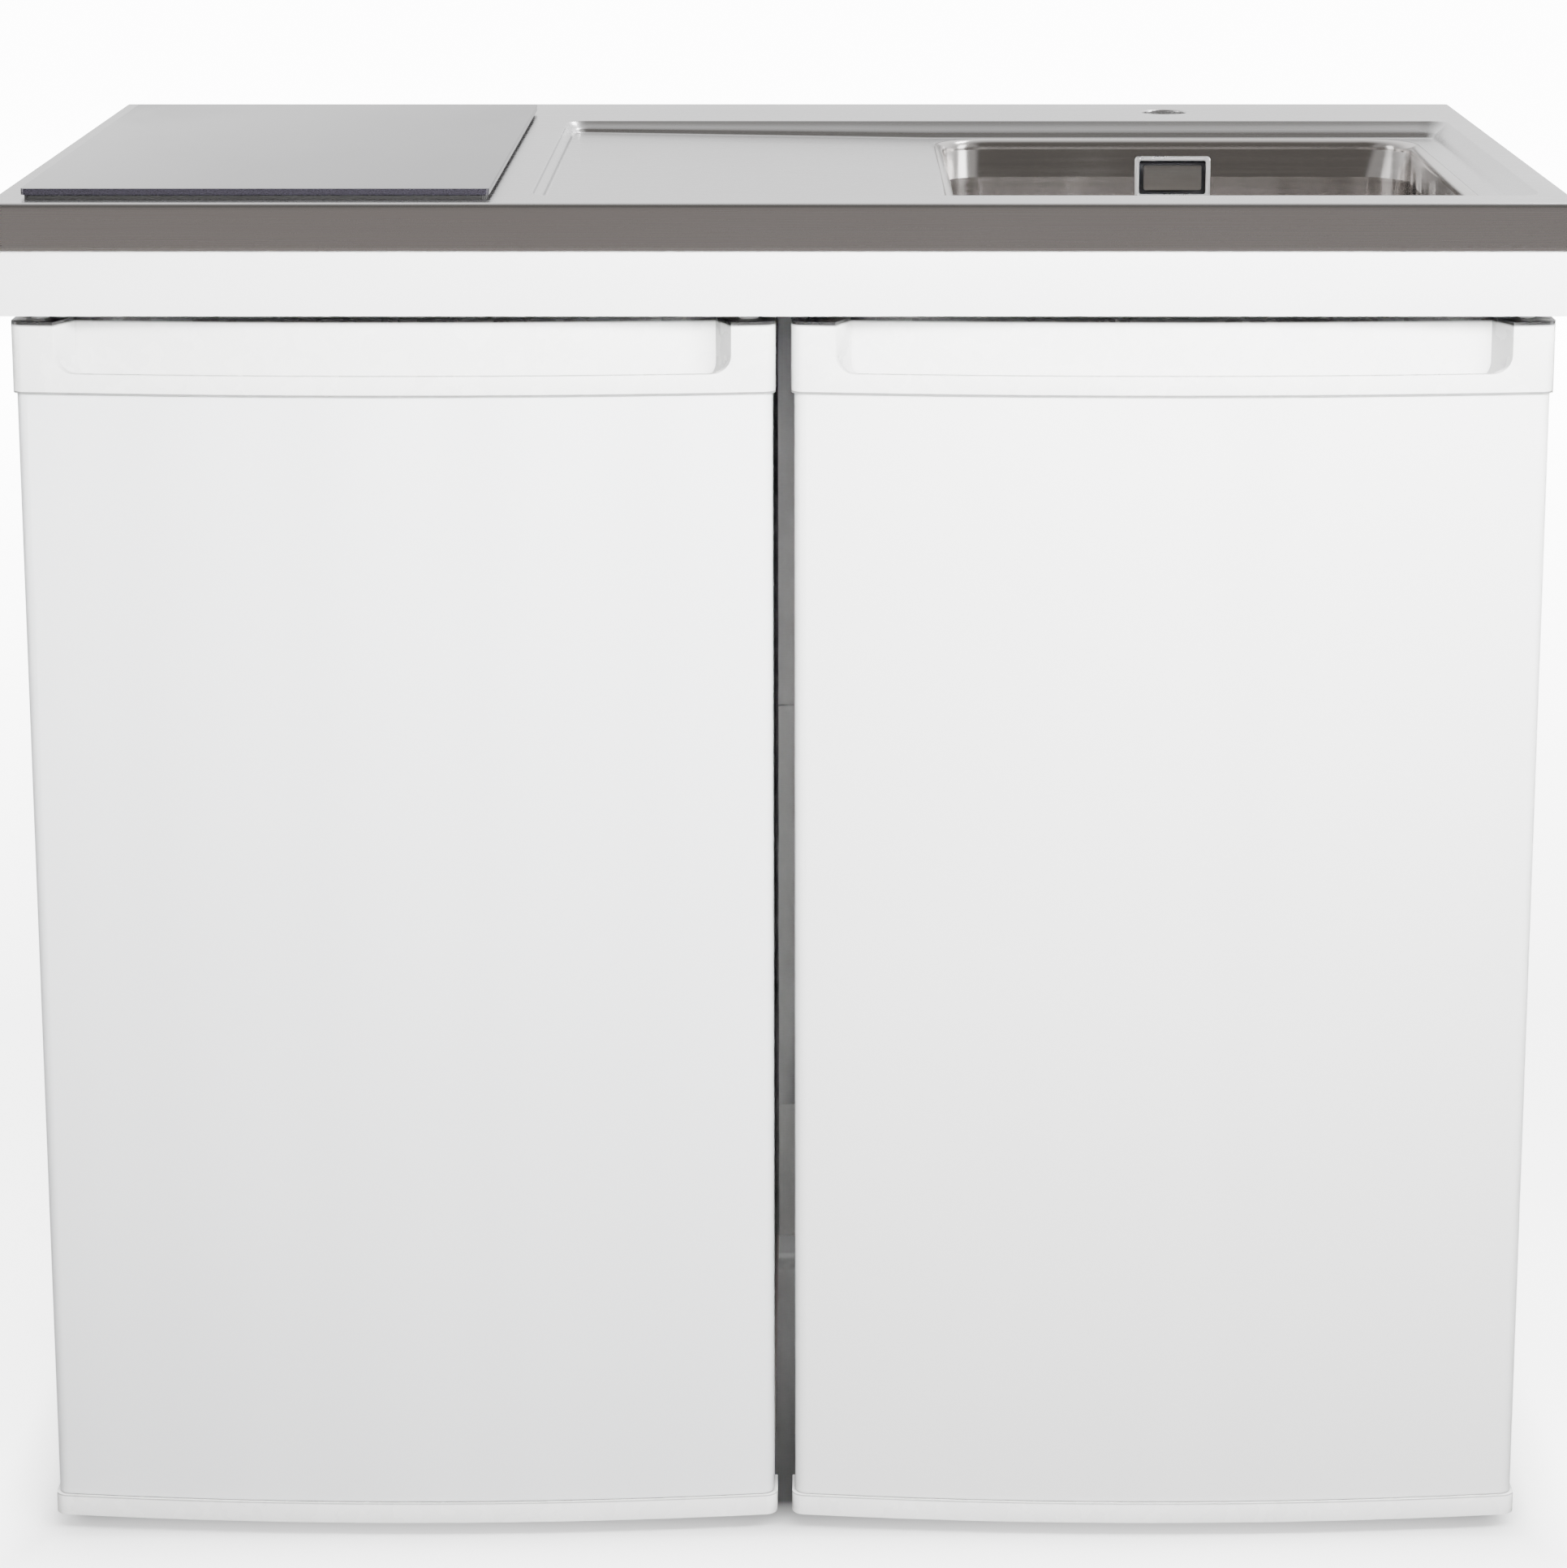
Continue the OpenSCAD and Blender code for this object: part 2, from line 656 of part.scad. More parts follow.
module waste_nut() color([0.3, 0.3, 0.31]) translate([bowl_x, bowl_y, bowl_z - sheet_t - 8]) difference() {
    cylinder(r = waste_r + 12, h = 8);
    translate([0, 0, -cut]) cylinder(r = waste_r + waste_wall + 0.1, h = 8 + 2 * cut);
}

module waste_strainer() color([0.82, 0.82, 0.83]) translate([bowl_x, bowl_y, bowl_z]) {
    cup_r = waste_r - 3;
    cup_low = -22;
    difference() {
        rotate_extrude() polygon([
            [0, cup_low], [cup_r - 6, cup_low], [cup_r, cup_low + 8], [cup_r, 2 + touch_gap],
            [waste_r + 4, 2 + touch_gap], [waste_r + 4, 3.5], [cup_r - 1.5, 3.5],
            [cup_r - 1.5, cup_low + 8.6], [cup_r - 6.6, cup_low + 1.5], [6, cup_low + 1.5],
            [4, cup_low + 4], [4, 4], [7, 7], [7, 9], [5, 11], [0, 11]
        ]);
        for (ring = [[12, 6], [22, 12], [30, 16]], i = [1:ring[1]])
            rotate([0, 0, 360 * i / ring[1]]) translate([ring[0], 0, cup_low - cut]) cylinder(r = 2.2, h = 6);
    }
}

module trap_body() color([0.93, 0.93, 0.93]) translate([bowl_x, bowl_y, 0]) difference() {
    union() {
        translate([0, 0, trap_z - 30]) cylinder(r = drain_r + 8, h = 46);
        translate([0, 0, outlet_z]) rotate([-90, 0, 0]) cylinder(r = drain_r + 6, h = socket_l);
        translate([0, 0, trap_z - 42]) cylinder(r = drain_r + 14, h = 14);
    }
    translate([0, 0, trap_z - 26]) cylinder(r = drain_r + weld_gap, h = 60);
    translate([0, 0, outlet_z]) rotate([-90, 0, 0]) cylinder(r = spigot_r + weld_gap, h = socket_l + cut);
    translate([0, 0, trap_z - 60]) cylinder(r = drain_r - 2, h = 50);
}

module trap_cup() color([0.9, 0.9, 0.9]) translate([bowl_x, bowl_y, trap_z - 42]) {
    cup = drain_r + 12;
    difference() {
        union() {
            translate([0, 0, -70]) cylinder(r = cup, h = 70);
            for (i = [1:12]) rotate([0, 0, 30 * i]) translate([cup - 1, -2, -68]) cube([3, 4, 54]);
        }
        translate([0, 0, -67]) cylinder(r = cup - 2.5, h = 67 + cut);
    }
}

// The drain pipe, whose end is turned down where it sits in the trap's socket.
module trap_outlet() color([0.93, 0.93, 0.93])
    translate([bowl_x, bowl_y + socket_l + 2 - spigot_l, outlet_z]) rotate([-90, 0, 0]) {
        run = back - drain_end - bowl_y - socket_l - 2 + spigot_l;
        difference() {
            union() {
                cylinder(r = spigot_r, h = run);
                translate([0, 0, spigot_l]) cylinder(r = drain_r, h = run - spigot_l);
            }
            translate([0, 0, -cut]) cylinder(r = drain_r - 2.5, h = run + 2 * cut);
        }
    }

// ---- Hob ----

module hob_glass() color([0.12, 0.12, 0.14]) translate([hob_x, hob_y, glass_z]) slab(hob_w, hob_d, glass_t, 4);

module hob_seal() color([0.08, 0.08, 0.08]) translate([hob_x, hob_y, top_z]) difference() {
    slab(hob_w - 4, hob_d - 4, seal_t, 3);
    translate([0, 0, -cut])
        slab(pan_w + 2 * pan_gap + 4, pan_d + 2 * pan_gap + 4, seal_t + 2 * cut, 3);
}

module hob_pan() color([0.65, 0.65, 0.66]) translate([hob_x, hob_y, pan_z]) difference() {
    slab(pan_w, pan_d, pan_h, 3);
    translate([0, 0, 1]) slab(pan_w - 2, pan_d - 2, pan_h, 2);
    for (i = [-4:4]) block([-60, 60], [pan_d / 4 + 10 * i - 2, pan_d / 4 + 10 * i + 2], [-cut, 2]);
}

// A radiant heater on three legs, pressed up under the glass.
module heater(r, y) color([0.55, 0.55, 0.53]) translate([hob_x, y, pan_z + 1]) {
    dish_h = 26;
    leg_h = pan_h - 1 - dish_h - touch_gap;
    translate([0, 0, leg_h]) difference() {
        cylinder(r = r, h = dish_h);
        translate([0, 0, 12]) cylinder(r = r - 7, h = dish_h);
    }
    for (ring = [0.25, 0.45, 0.65, 0.85]) translate([0, 0, leg_h + 12]) difference() {
        cylinder(r = (r - 9) * ring + 1.5, h = 3);
        translate([0, 0, -cut]) cylinder(r = (r - 9) * ring - 1.5, h = 3 + 2 * cut);
    }
    for (i = [0:2]) rotate([0, 0, 120 * i]) translate([r - 14, -6, 0]) cube([10, 12, leg_h]);
}

module hob_heater_front() heater(heater_front_r, heaters_y[0]);
module hob_heater_rear() heater(heater_rear_r, heaters_y[1]);

module hob_control_unit() color([0.1, 0.25, 0.15]) {
    y = hob_y - pan_d / 2 + 4;
    block([hob_x - 90, hob_x + 90], [y, y + hob_control_d - 12], [glass_z - 14, glass_z - touch_gap]);
    for (sx = [-1, 1], sy = [0, 1])
        translate([hob_x + sx * 80, y + 8 + sy * (hob_control_d - 28), pan_z + 1])
            cylinder(r = 3, h = pan_h - 15);
}

// ---- Cabinets, shared pieces ----

module levelling_feet() color([0.15, 0.15, 0.15])
    for (side = [-1, 1], sx = [-1, 1], y = [toe_front + 26, cab_back - 30])
        translate([side * unit_x + sx * (cab_w / 2 - 17), y, 0]) {
            cylinder(r = foot_r, h = foot_disc_h);
            cylinder(r = 9, h = foot_h, $fn = 6);
        }

// Top and bottom hinge plates with their pins. The side is -1 for a hinge on the left.
module hinge_plates(side) {
    arm = hinge_arm_w / 2;
    foot_arm = 9;
    foot_t = 4;
    pin_low = cab_top - run_gap - pin_l;
    mirror(side < 0 ? [1, 0, 0] : [0, 0, 0]) {
        block([hinge_x - arm, hinge_x + arm], [hinge_y, cab_front + 1],
              [cab_top, cab_top + hinge_plate_t]);
        translate([hinge_x, hinge_y, cab_top]) cylinder(r = arm, h = hinge_plate_t);
        block([hinge_x - arm - 16, cab_w / 2 - 1], [cab_front + 0.5, cab_front + tab_l],
              [cab_top, cab_top + hinge_plate_t]);
        translate([hinge_x, hinge_y, pin_low]) cylinder(r = pin_r, h = cab_top - pin_low);
        block([hinge_x - foot_arm, hinge_x + foot_arm], [hinge_y, toe_front + 10],
              [cab_base - foot_t, cab_base]);
        translate([hinge_x, hinge_y, cab_base - foot_t]) cylinder(r = foot_arm, h = foot_t);
        translate([hinge_x, hinge_y, cab_base]) cylinder(r = pin_r, h = run_gap + pin_l);
    }
}

// ---- Refrigerator ----

module fridge_skin() color([0.94, 0.94, 0.94]) at_fridge() difference() {
    block([-cab_w / 2, cab_w / 2], [cab_front, cab_back], [cab_base, cab_top]);
    block([-cab_w / 2 + skin_t, cab_w / 2 - skin_t], [cab_front + skin_t, cab_back + cut],
          [cab_base - cut, cab_top - skin_t]);
    block([-cavity_w / 2, cavity_w / 2], [cab_front - cut, cab_front + 2 * skin_t],
          [toe_top + foam_floor, cab_top - skin_t - foam_top]);
    block([-cab_w / 2 - cut, cab_w / 2 + cut], [cab_front - cut, toe_front], [cab_base - cut, toe_top]);
    translate([unit_x, 0, 0]) screw_holes();
}

// The inside, with its step over the compressor, made smaller by an inset.
module cavity_shape(inset, from_y) difference() {
    block([-cavity_w / 2 + inset, cavity_w / 2 - inset], [from_y, cavity_back - inset],
          [toe_top + foam_floor + inset, cab_top - skin_t - foam_top - inset]);
    block([-cavity_w / 2 - cut, cavity_w / 2 + cut], [step_y + liner_t - inset, cavity_back + cut],
          [toe_top, step_z - liner_t + inset]);
}

module fridge_foam() color([0.9, 0.85, 0.65]) at_fridge() difference() {
    x = cab_w / 2 - skin_t;
    block([-x, x], [cab_front + skin_t, cab_back], [toe_top, cab_top - skin_t]);
    cavity_shape(0, cab_front - cut);
    block([-x - cut, x + cut], [niche_y, cab_back + cut], [toe_top - cut, toe_top + niche_h]);
    translate([unit_x, 0, 0]) screw_holes();
}

module fridge_liner() color([0.96, 0.96, 0.96]) at_fridge() {
    difference() {
        cavity_shape(0, cab_front + touch_gap);
        cavity_shape(liner_t, cab_front - cut);
    }
    for (s = [-1, 1], z = [step_z, lower_shelf_z, upper_shelf_z])
        block(s < 0 ? [-inside_w / 2, -inside_w / 2 + ledge_w] : [inside_w / 2 - ledge_w, inside_w / 2],
              [shelves_y[0] + 10, z == step_z ? step_y : inside_back], [z - ledge_h, z]);
    for (s = [-1, 1], i = [0:2])
        translate([s * inside_w / 2, shelves_y[0] - 20 - 18 * i, floor_z + 20])
            cylinder(r = 1.8, h = ceiling_z - floor_z - 40);
}

// Two rails on the feet, the plate that carries the compressor, and a front cross piece.
module fridge_base() color([0.6, 0.6, 0.6]) at_fridge() difference() {
    x = cab_w / 2 - skin_t;
    union() {
        for (s = [-1, 1]) block(s < 0 ? [-x, -x + rail_foot_w] : [x - rail_foot_w, x],
                                [toe_front, cab_back], [cab_base, toe_top]);
        block([-x, x], [niche_y, cab_back], [niche_plate_z - 2, niche_plate_z]);
        block([-x, x], [toe_front + grille_t, toe_front + grille_t + 2], [cab_base, toe_top]);
    }
    translate([unit_x, 0, 0]) screw_holes();
}

module fridge_toe_grille() color([0.85, 0.85, 0.85]) at_fridge() difference() {
    x = cab_w / 2 - skin_t - rail_foot_w;
    block([-x, x], [toe_front, toe_front + grille_t], [cab_base + 2, toe_top]);
    for (i = [-12:12]) block([14 * i - 4, 14 * i + 4], [toe_front - cut, toe_front + grille_t + cut],
                             [cab_base + 10, toe_top - 9]);
}

module fridge_hinges() color([0.92, 0.92, 0.91]) difference() {
    at_fridge() hinge_plates(-1);
    screw_holes();
}

module glass_shelf(z) color([0.75, 0.85, 0.83]) at_fridge() {
    w = inside_w - 3;
    block([-w / 2, w / 2], [shelves_y[0] + 4, shelves_y[1]], [z, z + shelf_t]);
    difference() {
        block([-w / 2, w / 2], [shelves_y[0] - 4, shelves_y[0] + 8], [z - 5, z + shelf_t + 4]);
        block([-w / 2 - cut, w / 2 + cut], [shelves_y[0] + 4, shelves_y[0] + 8 + cut], [z, z + shelf_t]);
    }
}

module fridge_shelves() {
    glass_shelf(lower_shelf_z);
    glass_shelf(upper_shelf_z);
}

module crisper_lid() color([0.75, 0.85, 0.83]) at_fridge() {
    w = inside_w - 3;
    block([-w / 2, w / 2], [shelves_y[0] + 4, step_y + 20], [step_z, step_z + shelf_t]);
    block([-w / 2, w / 2], [shelves_y[0], shelves_y[0] + 4], [step_z - 4, step_z + shelf_t + 3]);
}

// An open drawer with a hooked grip along its front edge.
module crisper_drawer() color([0.85, 0.9, 0.92]) at_fridge() {
    t = 2.5;
    difference() {
        block([-crisper_w / 2, crisper_w / 2], crisper_y, crisper_z);
        block([-crisper_w / 2 + t, crisper_w / 2 - t], [crisper_y[0] + t, crisper_y[1] - t],
              [crisper_z[0] + t, crisper_z[1] + cut]);
        block([-60, 60], [crisper_y[0] - cut, crisper_y[0] + t + cut], [crisper_z[1] - 18, crisper_z[1] + cut]);
    }
    block([-66, 66], [crisper_y[0] - 10, crisper_y[0]], [crisper_z[1] - 21, crisper_z[1] - 18]);
    block([-66, 66], [crisper_y[0] - 10, crisper_y[0] - 8], [crisper_z[1] - 32, crisper_z[1] - 18]);
}

// The cooled aluminium sleeve that hangs under the liner's ceiling.
module icebox() color([0.75, 0.77, 0.78]) at_fridge() difference() {
    w = inside_w - 12;
    block([-w / 2, w / 2], [icebox_front, inside_back - touch_gap], [icebox_z, ceiling_z - touch_gap]);
    block([-w / 2 + 2, w / 2 - 2], [icebox_front - cut, inside_back - touch_gap - 2],
          [icebox_z + 2, ceiling_z - touch_gap - 2]);
}

module icebox_frame() color([0.93, 0.94, 0.95]) at_fridge() difference() {
    w = inside_w - 4;
    y = [icebox_front - icebox_frame_d, icebox_front];
    block([-w / 2, w / 2], y, [icebox_z - 3, ceiling_z - touch_gap]);
    block([-flap_w / 2 - 3, flap_w / 2 + 3], [y[0] - cut, y[1] + cut], [icebox_z + 10, ceiling_z - 12]);
    translate([-flap_w / 2 - 12, flap_y, flap_hinge_z]) rotate([0, 90, 0])
        cylinder(r = flap_pin_r + pin_fit, h = flap_w + 24);
}

module icebox_flap() color([0.88, 0.93, 0.96]) at_fridge() {
    difference() {
        block([-flap_w / 2, flap_w / 2], [flap_y - 2, flap_y + 2], [icebox_z + 12, flap_hinge_z]);
        block([-70, 70], [flap_y - 2 - cut, flap_y - 0.8], [icebox_z + 24, icebox_z + 36]);
    }
    translate([-flap_w / 2, flap_y, flap_hinge_z]) rotate([0, 90, 0]) cylinder(r = 4, h = flap_w);
    translate([-flap_w / 2 - 9, flap_y, flap_hinge_z]) rotate([0, 90, 0])
        cylinder(r = flap_pin_r, h = flap_w + 18);
}

module thermostat_housing() color([0.94, 0.94, 0.94]) at_fridge() difference() {
    union() {
        block([control_x, inside_w / 2 - touch_gap], control_y, control_z);
        translate([control_x, control_y[0], control_z[0]]) rotate([0, 90, 0])
            translate([-8, 8, 0]) cylinder(r = 8, h = inside_w / 2 - touch_gap - control_x);
    }
    translate([control_x - cut, knob_at[0], knob_at[1]]) rotate([0, 90, 0])
        cylinder(r = spindle_r + pin_fit, h = 14 + cut);
    for (i = [0:5]) block([control_x - cut, control_x + 3], [control_y[1] - 52, control_y[1] - 6],
                          [control_z[0] + 5 + 9 * i, control_z[0] + 8 + 9 * i]);
}

module thermostat_knob() color([0.9, 0.9, 0.9]) at_fridge() translate([control_x, knob_at[0], knob_at[1]]) {
    translate([-run_gap - cut, 0, 0]) rotate([0, 90, 0]) cylinder(r = spindle_r, h = 12 + run_gap + cut);
    translate([-knob_h - run_gap, 0, 0]) rotate([0, 90, 0]) difference() {
        cylinder(r = knob_r, h = knob_h);
        for (i = [1:18]) rotate([0, 0, 20 * i]) translate([knob_r + 0.6, 0, -cut])
            cylinder(r = 1.5, h = knob_h - 2);
        translate([-knob_r, -1, -cut]) cube([12, 2, 1.8]);
    }
}

module lamp_cover() color([0.98, 0.97, 0.9]) at_fridge()
    translate([control_x - 9 - weld_gap, control_y[0] + 80, (control_z[0] + control_z[1]) / 2])
        rotate([0, 90, 0]) slab(control_z[1] - control_z[0] - 16, 48, 9, 8);

module compressor() color([0.1, 0.1, 0.1]) at_fridge() {
    h = compressor_h;
    translate([compressor_at[0], compressor_at[1], niche_plate_z]) {
        for (sx = [-1, 1], sy = [-1, 1]) translate([sx * 62, sy * 48, 0]) cylinder(r = 9, h = 12);
        translate([0, 0, 12]) slab(148, 120, 3, 14);
        translate([0, 0, 15]) rotate_extrude() polygon(concat(
            [[0, 0], [compressor_r - 14, 0], [compressor_r - 4, 8], [compressor_r, 20], [compressor_r, h * 0.55]],
            [for (a = [0:15:90]) [compressor_r - 24 + 24 * cos(a), h * 0.55 + (h * 0.45 - 15) * sin(a)]],
            [[0, h - 15]]));
        translate([-compressor_r - 16, -22, 45]) cube([30, 44, 50]);
    }
    translate([compressor_at[0] - 150, compressor_at[1] + 30, niche_plate_z]) cylinder(r = 11, h = 96);
}

module drip_tray() color([0.2, 0.2, 0.2]) at_fridge()
    translate([compressor_at[0], compressor_at[1], niche_plate_z + compressor_h + touch_gap]) difference() {
        slab(130, 110, 18, 10);
        translate([0, 0, 2]) slab(126, 106, 20, 8);
    }

// A serpentine tube: straight runs joined by half turns.
module condenser_coil() color([0.12, 0.12, 0.12]) at_fridge() {
    bend = coil_pitch / 2;
    for (i = [0:coil_runs - 1]) translate([-coil_x + bend, coil_y, coil_z + coil_pitch * i])
        rotate([0, 90, 0]) cylinder(r = tube_r, h = 2 * (coil_x - bend));
    for (i = [0:coil_runs - 2]) {
        s = i % 2 == 0 ? 1 : -1;
        translate([s * (coil_x - bend), coil_y, coil_z + coil_pitch * (i + 0.5)])
            rotate([90, 0, 0]) rotate([0, 0, s > 0 ? -90 : 90])
                rotate_extrude(angle = 180) translate([bend, 0]) circle(tube_r);
    }
}

// Stiffening wires behind the tube, and the clips that carry it on the back.
module condenser_wires() color([0.12, 0.12, 0.12]) at_fridge() {
    wires = 16;
    for (i = [0:wires - 1]) {
        x = -coil_x + 34 + (2 * coil_x - 68) * i / (wires - 1);
        block([x - 0.8, x + 0.8], [coil_y + tube_r + weld_gap, coil_y + tube_r + weld_gap + 1.6],
              [coil_z - 16, coil_z + coil_pitch * (coil_runs - 1) + 16]);
    }
    for (sx = [-1, 1], row = [0, coil_runs - 1])
        translate([sx * (coil_x - 60), cab_back + weld_gap, coil_z + coil_pitch * row]) difference() {
            translate([-6, 0, -8]) cube([12, coil_y - cab_back - weld_gap + tube_r, 16]);
            translate([-7, coil_y - cab_back - weld_gap, 0]) rotate([0, 90, 0])
                cylinder(r = tube_r + weld_gap, h = 14);
            translate([-7, coil_y - cab_back - weld_gap, -tube_r - weld_gap])
                cube([14, 12, 2 * (tube_r + weld_gap)]);
        }
}

// ---- Doors ----

// A door's outline in plan, set in from the caps' outline: a bowed front and rounded front edges.
module door_plan(inset, back_y = door_back - liner_t) {
    half = door_w / 2 - inset;
    r = bow_r - inset;
    edge_x = half - edge_r;
    edge_y = bow_y - sqrt(pow(r - edge_r, 2) - pow(edge_x, 2));
    meet_x = edge_x * r / (r - edge_r);
    intersection() {
        translate([0, bow_y]) circle(r, $fn = bow_fn);
        translate([-meet_x, front]) square([2 * meet_x, back_y - front]);
    }
    translate([-half, edge_y]) square([2 * half, back_y - edge_y]);
    for (s = [-1, 1]) translate([s * edge_x, edge_y]) circle(edge_r);
}

module bush_hole(side, low) translate([side * hinge_x, hinge_y, low])
    cylinder(r = pin_r + pin_fit + bush_t, h = pin_l + 1 + cut);

// A steel sheet bent around the door's front and sides.
module door_panel() translate([0, 0, foot_seam_z + cap_seam])
    linear_extrude(seam_z - foot_seam_z - 2 * cap_seam) difference() {
        door_plan(cap_proud);
        door_plan(cap_proud + panel_t, door_back);
    }

// The grip's shape from a height above the seam to past the open top. Its ends run inwards with depth.
module grip_face(low) {
    half = door_w / 2 - grip_side;
    face_y = bow_y - sqrt(pow(bow_r, 2) - pow(half, 2));
    edge = corner_arc([0, cap_h + cut], [0, low], [-door_w, low], grip_r, 6);
    intersection_for (s = [-1, 1]) translate([s * half, face_y, seam_z]) rotate([0, 0, s * grip_draft])
        scale([s, 1, 1]) rotate([90, 0, 0]) linear_extrude(2 * door_w, center = true)
            polygon(concat([[-1.5 * door_w, cap_h + cut], [0, cap_h + cut]], edge, [[-1.5 * door_w, low]]));
}

module bow_cylinder(inset) translate([0, bow_y, seam_z - cut])
    cylinder(r = bow_r - inset, h = cap_h + 3 * cut, $fn = bow_fn);

// The pocket behind the top cap's lip, where the fingers hook in from above.
module grip_pocket() difference() {
    union() {
        grip_face(lip_h);
        intersection() {
            grip_face(grip_floor);
            bow_cylinder(lip_t);
        }
    }
    bow_cylinder(grip_depth);
}

module top_cap() difference() {
    translate([0, 0, seam_z]) linear_extrude(cap_h) door_plan(0);
    grip_pocket();
    for (s = [-1, 1]) bush_hole(s, door_top - pin_l - 1);
}

module bottom_cap(side) difference() {
    translate([0, 0, door_foot]) linear_extrude(foot_cap_h) door_plan(0);
    bush_hole(side, door_foot - cut);
}

// Two bushes on the hinge side, and an oval plug in the spare hole at the top.
module bushes(side) {
    for (z = [door_top - pin_l - 0.5, door_foot]) translate([side * hinge_x, hinge_y, z]) difference() {
        cylinder(r = pin_r + pin_fit + bush_t - weld_gap, h = pin_l + 0.5);
        translate([0, 0, z > seam_z ? 0.3 : -cut]) cylinder(r = pin_r + pin_fit, h = pin_l + 0.2 + cut);
    }
    translate([-side * hinge_x, hinge_y, door_top + weld_gap]) {
        for (s = [-1, 1]) translate([s * 3, 0, 0]) difference() {
            cylinder(r = 3.4, h = 1.6);
            translate([0, 0, 1]) cylinder(r = 1.6, h = 1.6);
        }
        translate([0, 0, -8]) cylinder(r = pin_r + pin_fit + bush_t - weld_gap, h = 8);
        block([-3, 3], [-3.4, 3.4], [0, 1]);
    }
}

// The seal: a soft ring between the door's back and the cabinet's front.
module gasket() difference() {
    block([-gasket_x, gasket_x], [door_back, cab_front - touch_gap], gasket_z);
    block([-gasket_x + gasket_w, gasket_x - gasket_w], [door_back - cut, cab_front],
          [gasket_z[0] + gasket_w, gasket_z[1] - gasket_w]);
}

module liner_sheet() block([-door_w / 2 + cap_proud + 2, door_w / 2 - cap_proud - 2],
                           [door_back - liner_t, door_back], [door_foot + 3, door_top - 3]);

module fridge_door_panel() color([0.93, 0.94, 0.95]) at_fridge() door_panel();
module fridge_door_top_cap() color([0.95, 0.95, 0.95]) at_fridge() top_cap();
module fridge_door_bottom_cap() color([0.95, 0.95, 0.95]) at_fridge() bottom_cap(-1);
module fridge_door_bushes() color([0.85, 0.85, 0.84]) at_fridge() bushes(-1);
module fridge_door_foam() color([0.9, 0.85, 0.65]) at_fridge() translate([0, 0, foot_seam_z + cap_seam])
    linear_extrude(seam_z - foot_seam_z - 2 * cap_seam) door_plan(cap_proud + panel_t + touch_gap);
module fridge_door_gasket() color([0.75, 0.75, 0.76]) at_fridge() gasket();

// The door's moulded inner face, with two upright dikes that carry the bins.
module fridge_door_liner() color([0.96, 0.96, 0.96]) at_fridge() {
    liner_sheet();
    block([-dike_x, dike_x], [door_back, door_back + gasket_t - 2], [floor_z + 16, ceiling_z - 16]);
    for (s = [-1, 1]) {
        block(s < 0 ? [-dike_x, -dike_x + dike_w] : [dike_x - dike_w, dike_x],
              [door_back, door_back + 62], [dike_low, dike_high]);
        for (z = bins_z) block(s < 0 ? [-dike_x + dike_w, -dike_x + dike_w + 6]
                                     : [dike_x - dike_w - 6, dike_x - dike_w],
                               [door_back + gasket_t, door_back + 50], [z - 6, z]);
    }
}

module fridge_door_bins() color([0.85, 0.9, 0.92]) at_fridge() {
    x = dike_x - dike_w - run_gap;
    t = 2.5;
    back_rim_h = 40;
    for (i = [0:2]) {
        z = bins_z[i];
        difference() {
            block([-x, x], bin_y, [z, z + bins_h[i]]);
            block([-x + t, x - t], [bin_y[0] + t, bin_y[1] - t], [z + t, z + bins_h[i] + cut]);
            block([-x + t, x - t], [bin_y[0] - cut, bin_y[0] + t + cut],
                  [z + back_rim_h, z + bins_h[i] + cut]);
        }
    }
}

// ---- Sink cupboard ----

module cupboard_sides() color([0.94, 0.94, 0.93]) at_cupboard() for (s = [-1, 1]) {
    x = s < 0 ? [-cab_w / 2, -cab_w / 2 + wall_t] : [cab_w / 2 - wall_t, cab_w / 2];
    difference() {
        block(x, [cab_front, cab_back], [cab_base, cab_top]);
        block([x[0] - cut, x[1] + cut], [cab_front - cut, toe_front], [cab_base - cut, toe_top]);
        for (y = shelf_pin_y) translate([s * (cab_w / 2 - wall_t + 9), y, shelf_z])
            rotate([0, -90 * s, 0]) cylinder(r = shelf_pin_r + pin_fit, h = 12);
        translate([-unit_x, 0, 0]) screw_holes();
    }
}

module cupboard_floor() color([0.94, 0.94, 0.93]) at_cupboard() {
    x = cab_w / 2 - wall_t;
    block([-x, x], [cab_front + 2, cab_back - back_t], [toe_top, toe_top + board_t]);
    block([-x, x], [toe_front, toe_front + board_t], [cab_base, toe_top]);
}

// The low back panel, the rail above it, and the plate that ties the two cabinets together.
module cupboard_back() color([0.9, 0.9, 0.89]) {
    at_cupboard() {
        x = cab_w / 2 - wall_t;
        block([-x, x], [cab_back - back_t, cab_back], [toe_top, toe_top + board_t + back_h]);
        block([-x, x], [cab_back - board_t, cab_back], [cab_top - 90, cab_top]);
    }
    tie_x = unit_x - cab_w / 2 + wall_t - 1;
    difference() {
        block([-tie_x, tie_x], [cab_back, cab_back + tie_t], [cab_base, cab_top]);
        screw_holes();
    }
}

// The shelf and its four pins in the side walls.
module cupboard_shelf() color([0.94, 0.94, 0.93]) at_cupboard() {
    x = cab_w / 2 - wall_t;
    block([-x + 1, x - 1], [cab_front + 30, cab_back - back_t - 60],
          [shelf_z + shelf_pin_r, shelf_z + shelf_pin_r + board_t]);
    for (s = [-1, 1], y = shelf_pin_y) translate([s * (x + 8), y, shelf_z])
        rotate([0, -90 * s, 0]) cylinder(r = shelf_pin_r, h = 18);
}

module cupboard_hinges() color([0.92, 0.92, 0.91]) difference() {
    at_cupboard() hinge_plates(1);
    screw_holes();
}
module cupboard_door_panel() color([0.95, 0.95, 0.94]) at_cupboard() door_panel();

module cupboard_door_caps() color([0.96, 0.96, 0.94]) at_cupboard() {
    top_cap();
    bottom_cap(1);
    bushes(1);
}

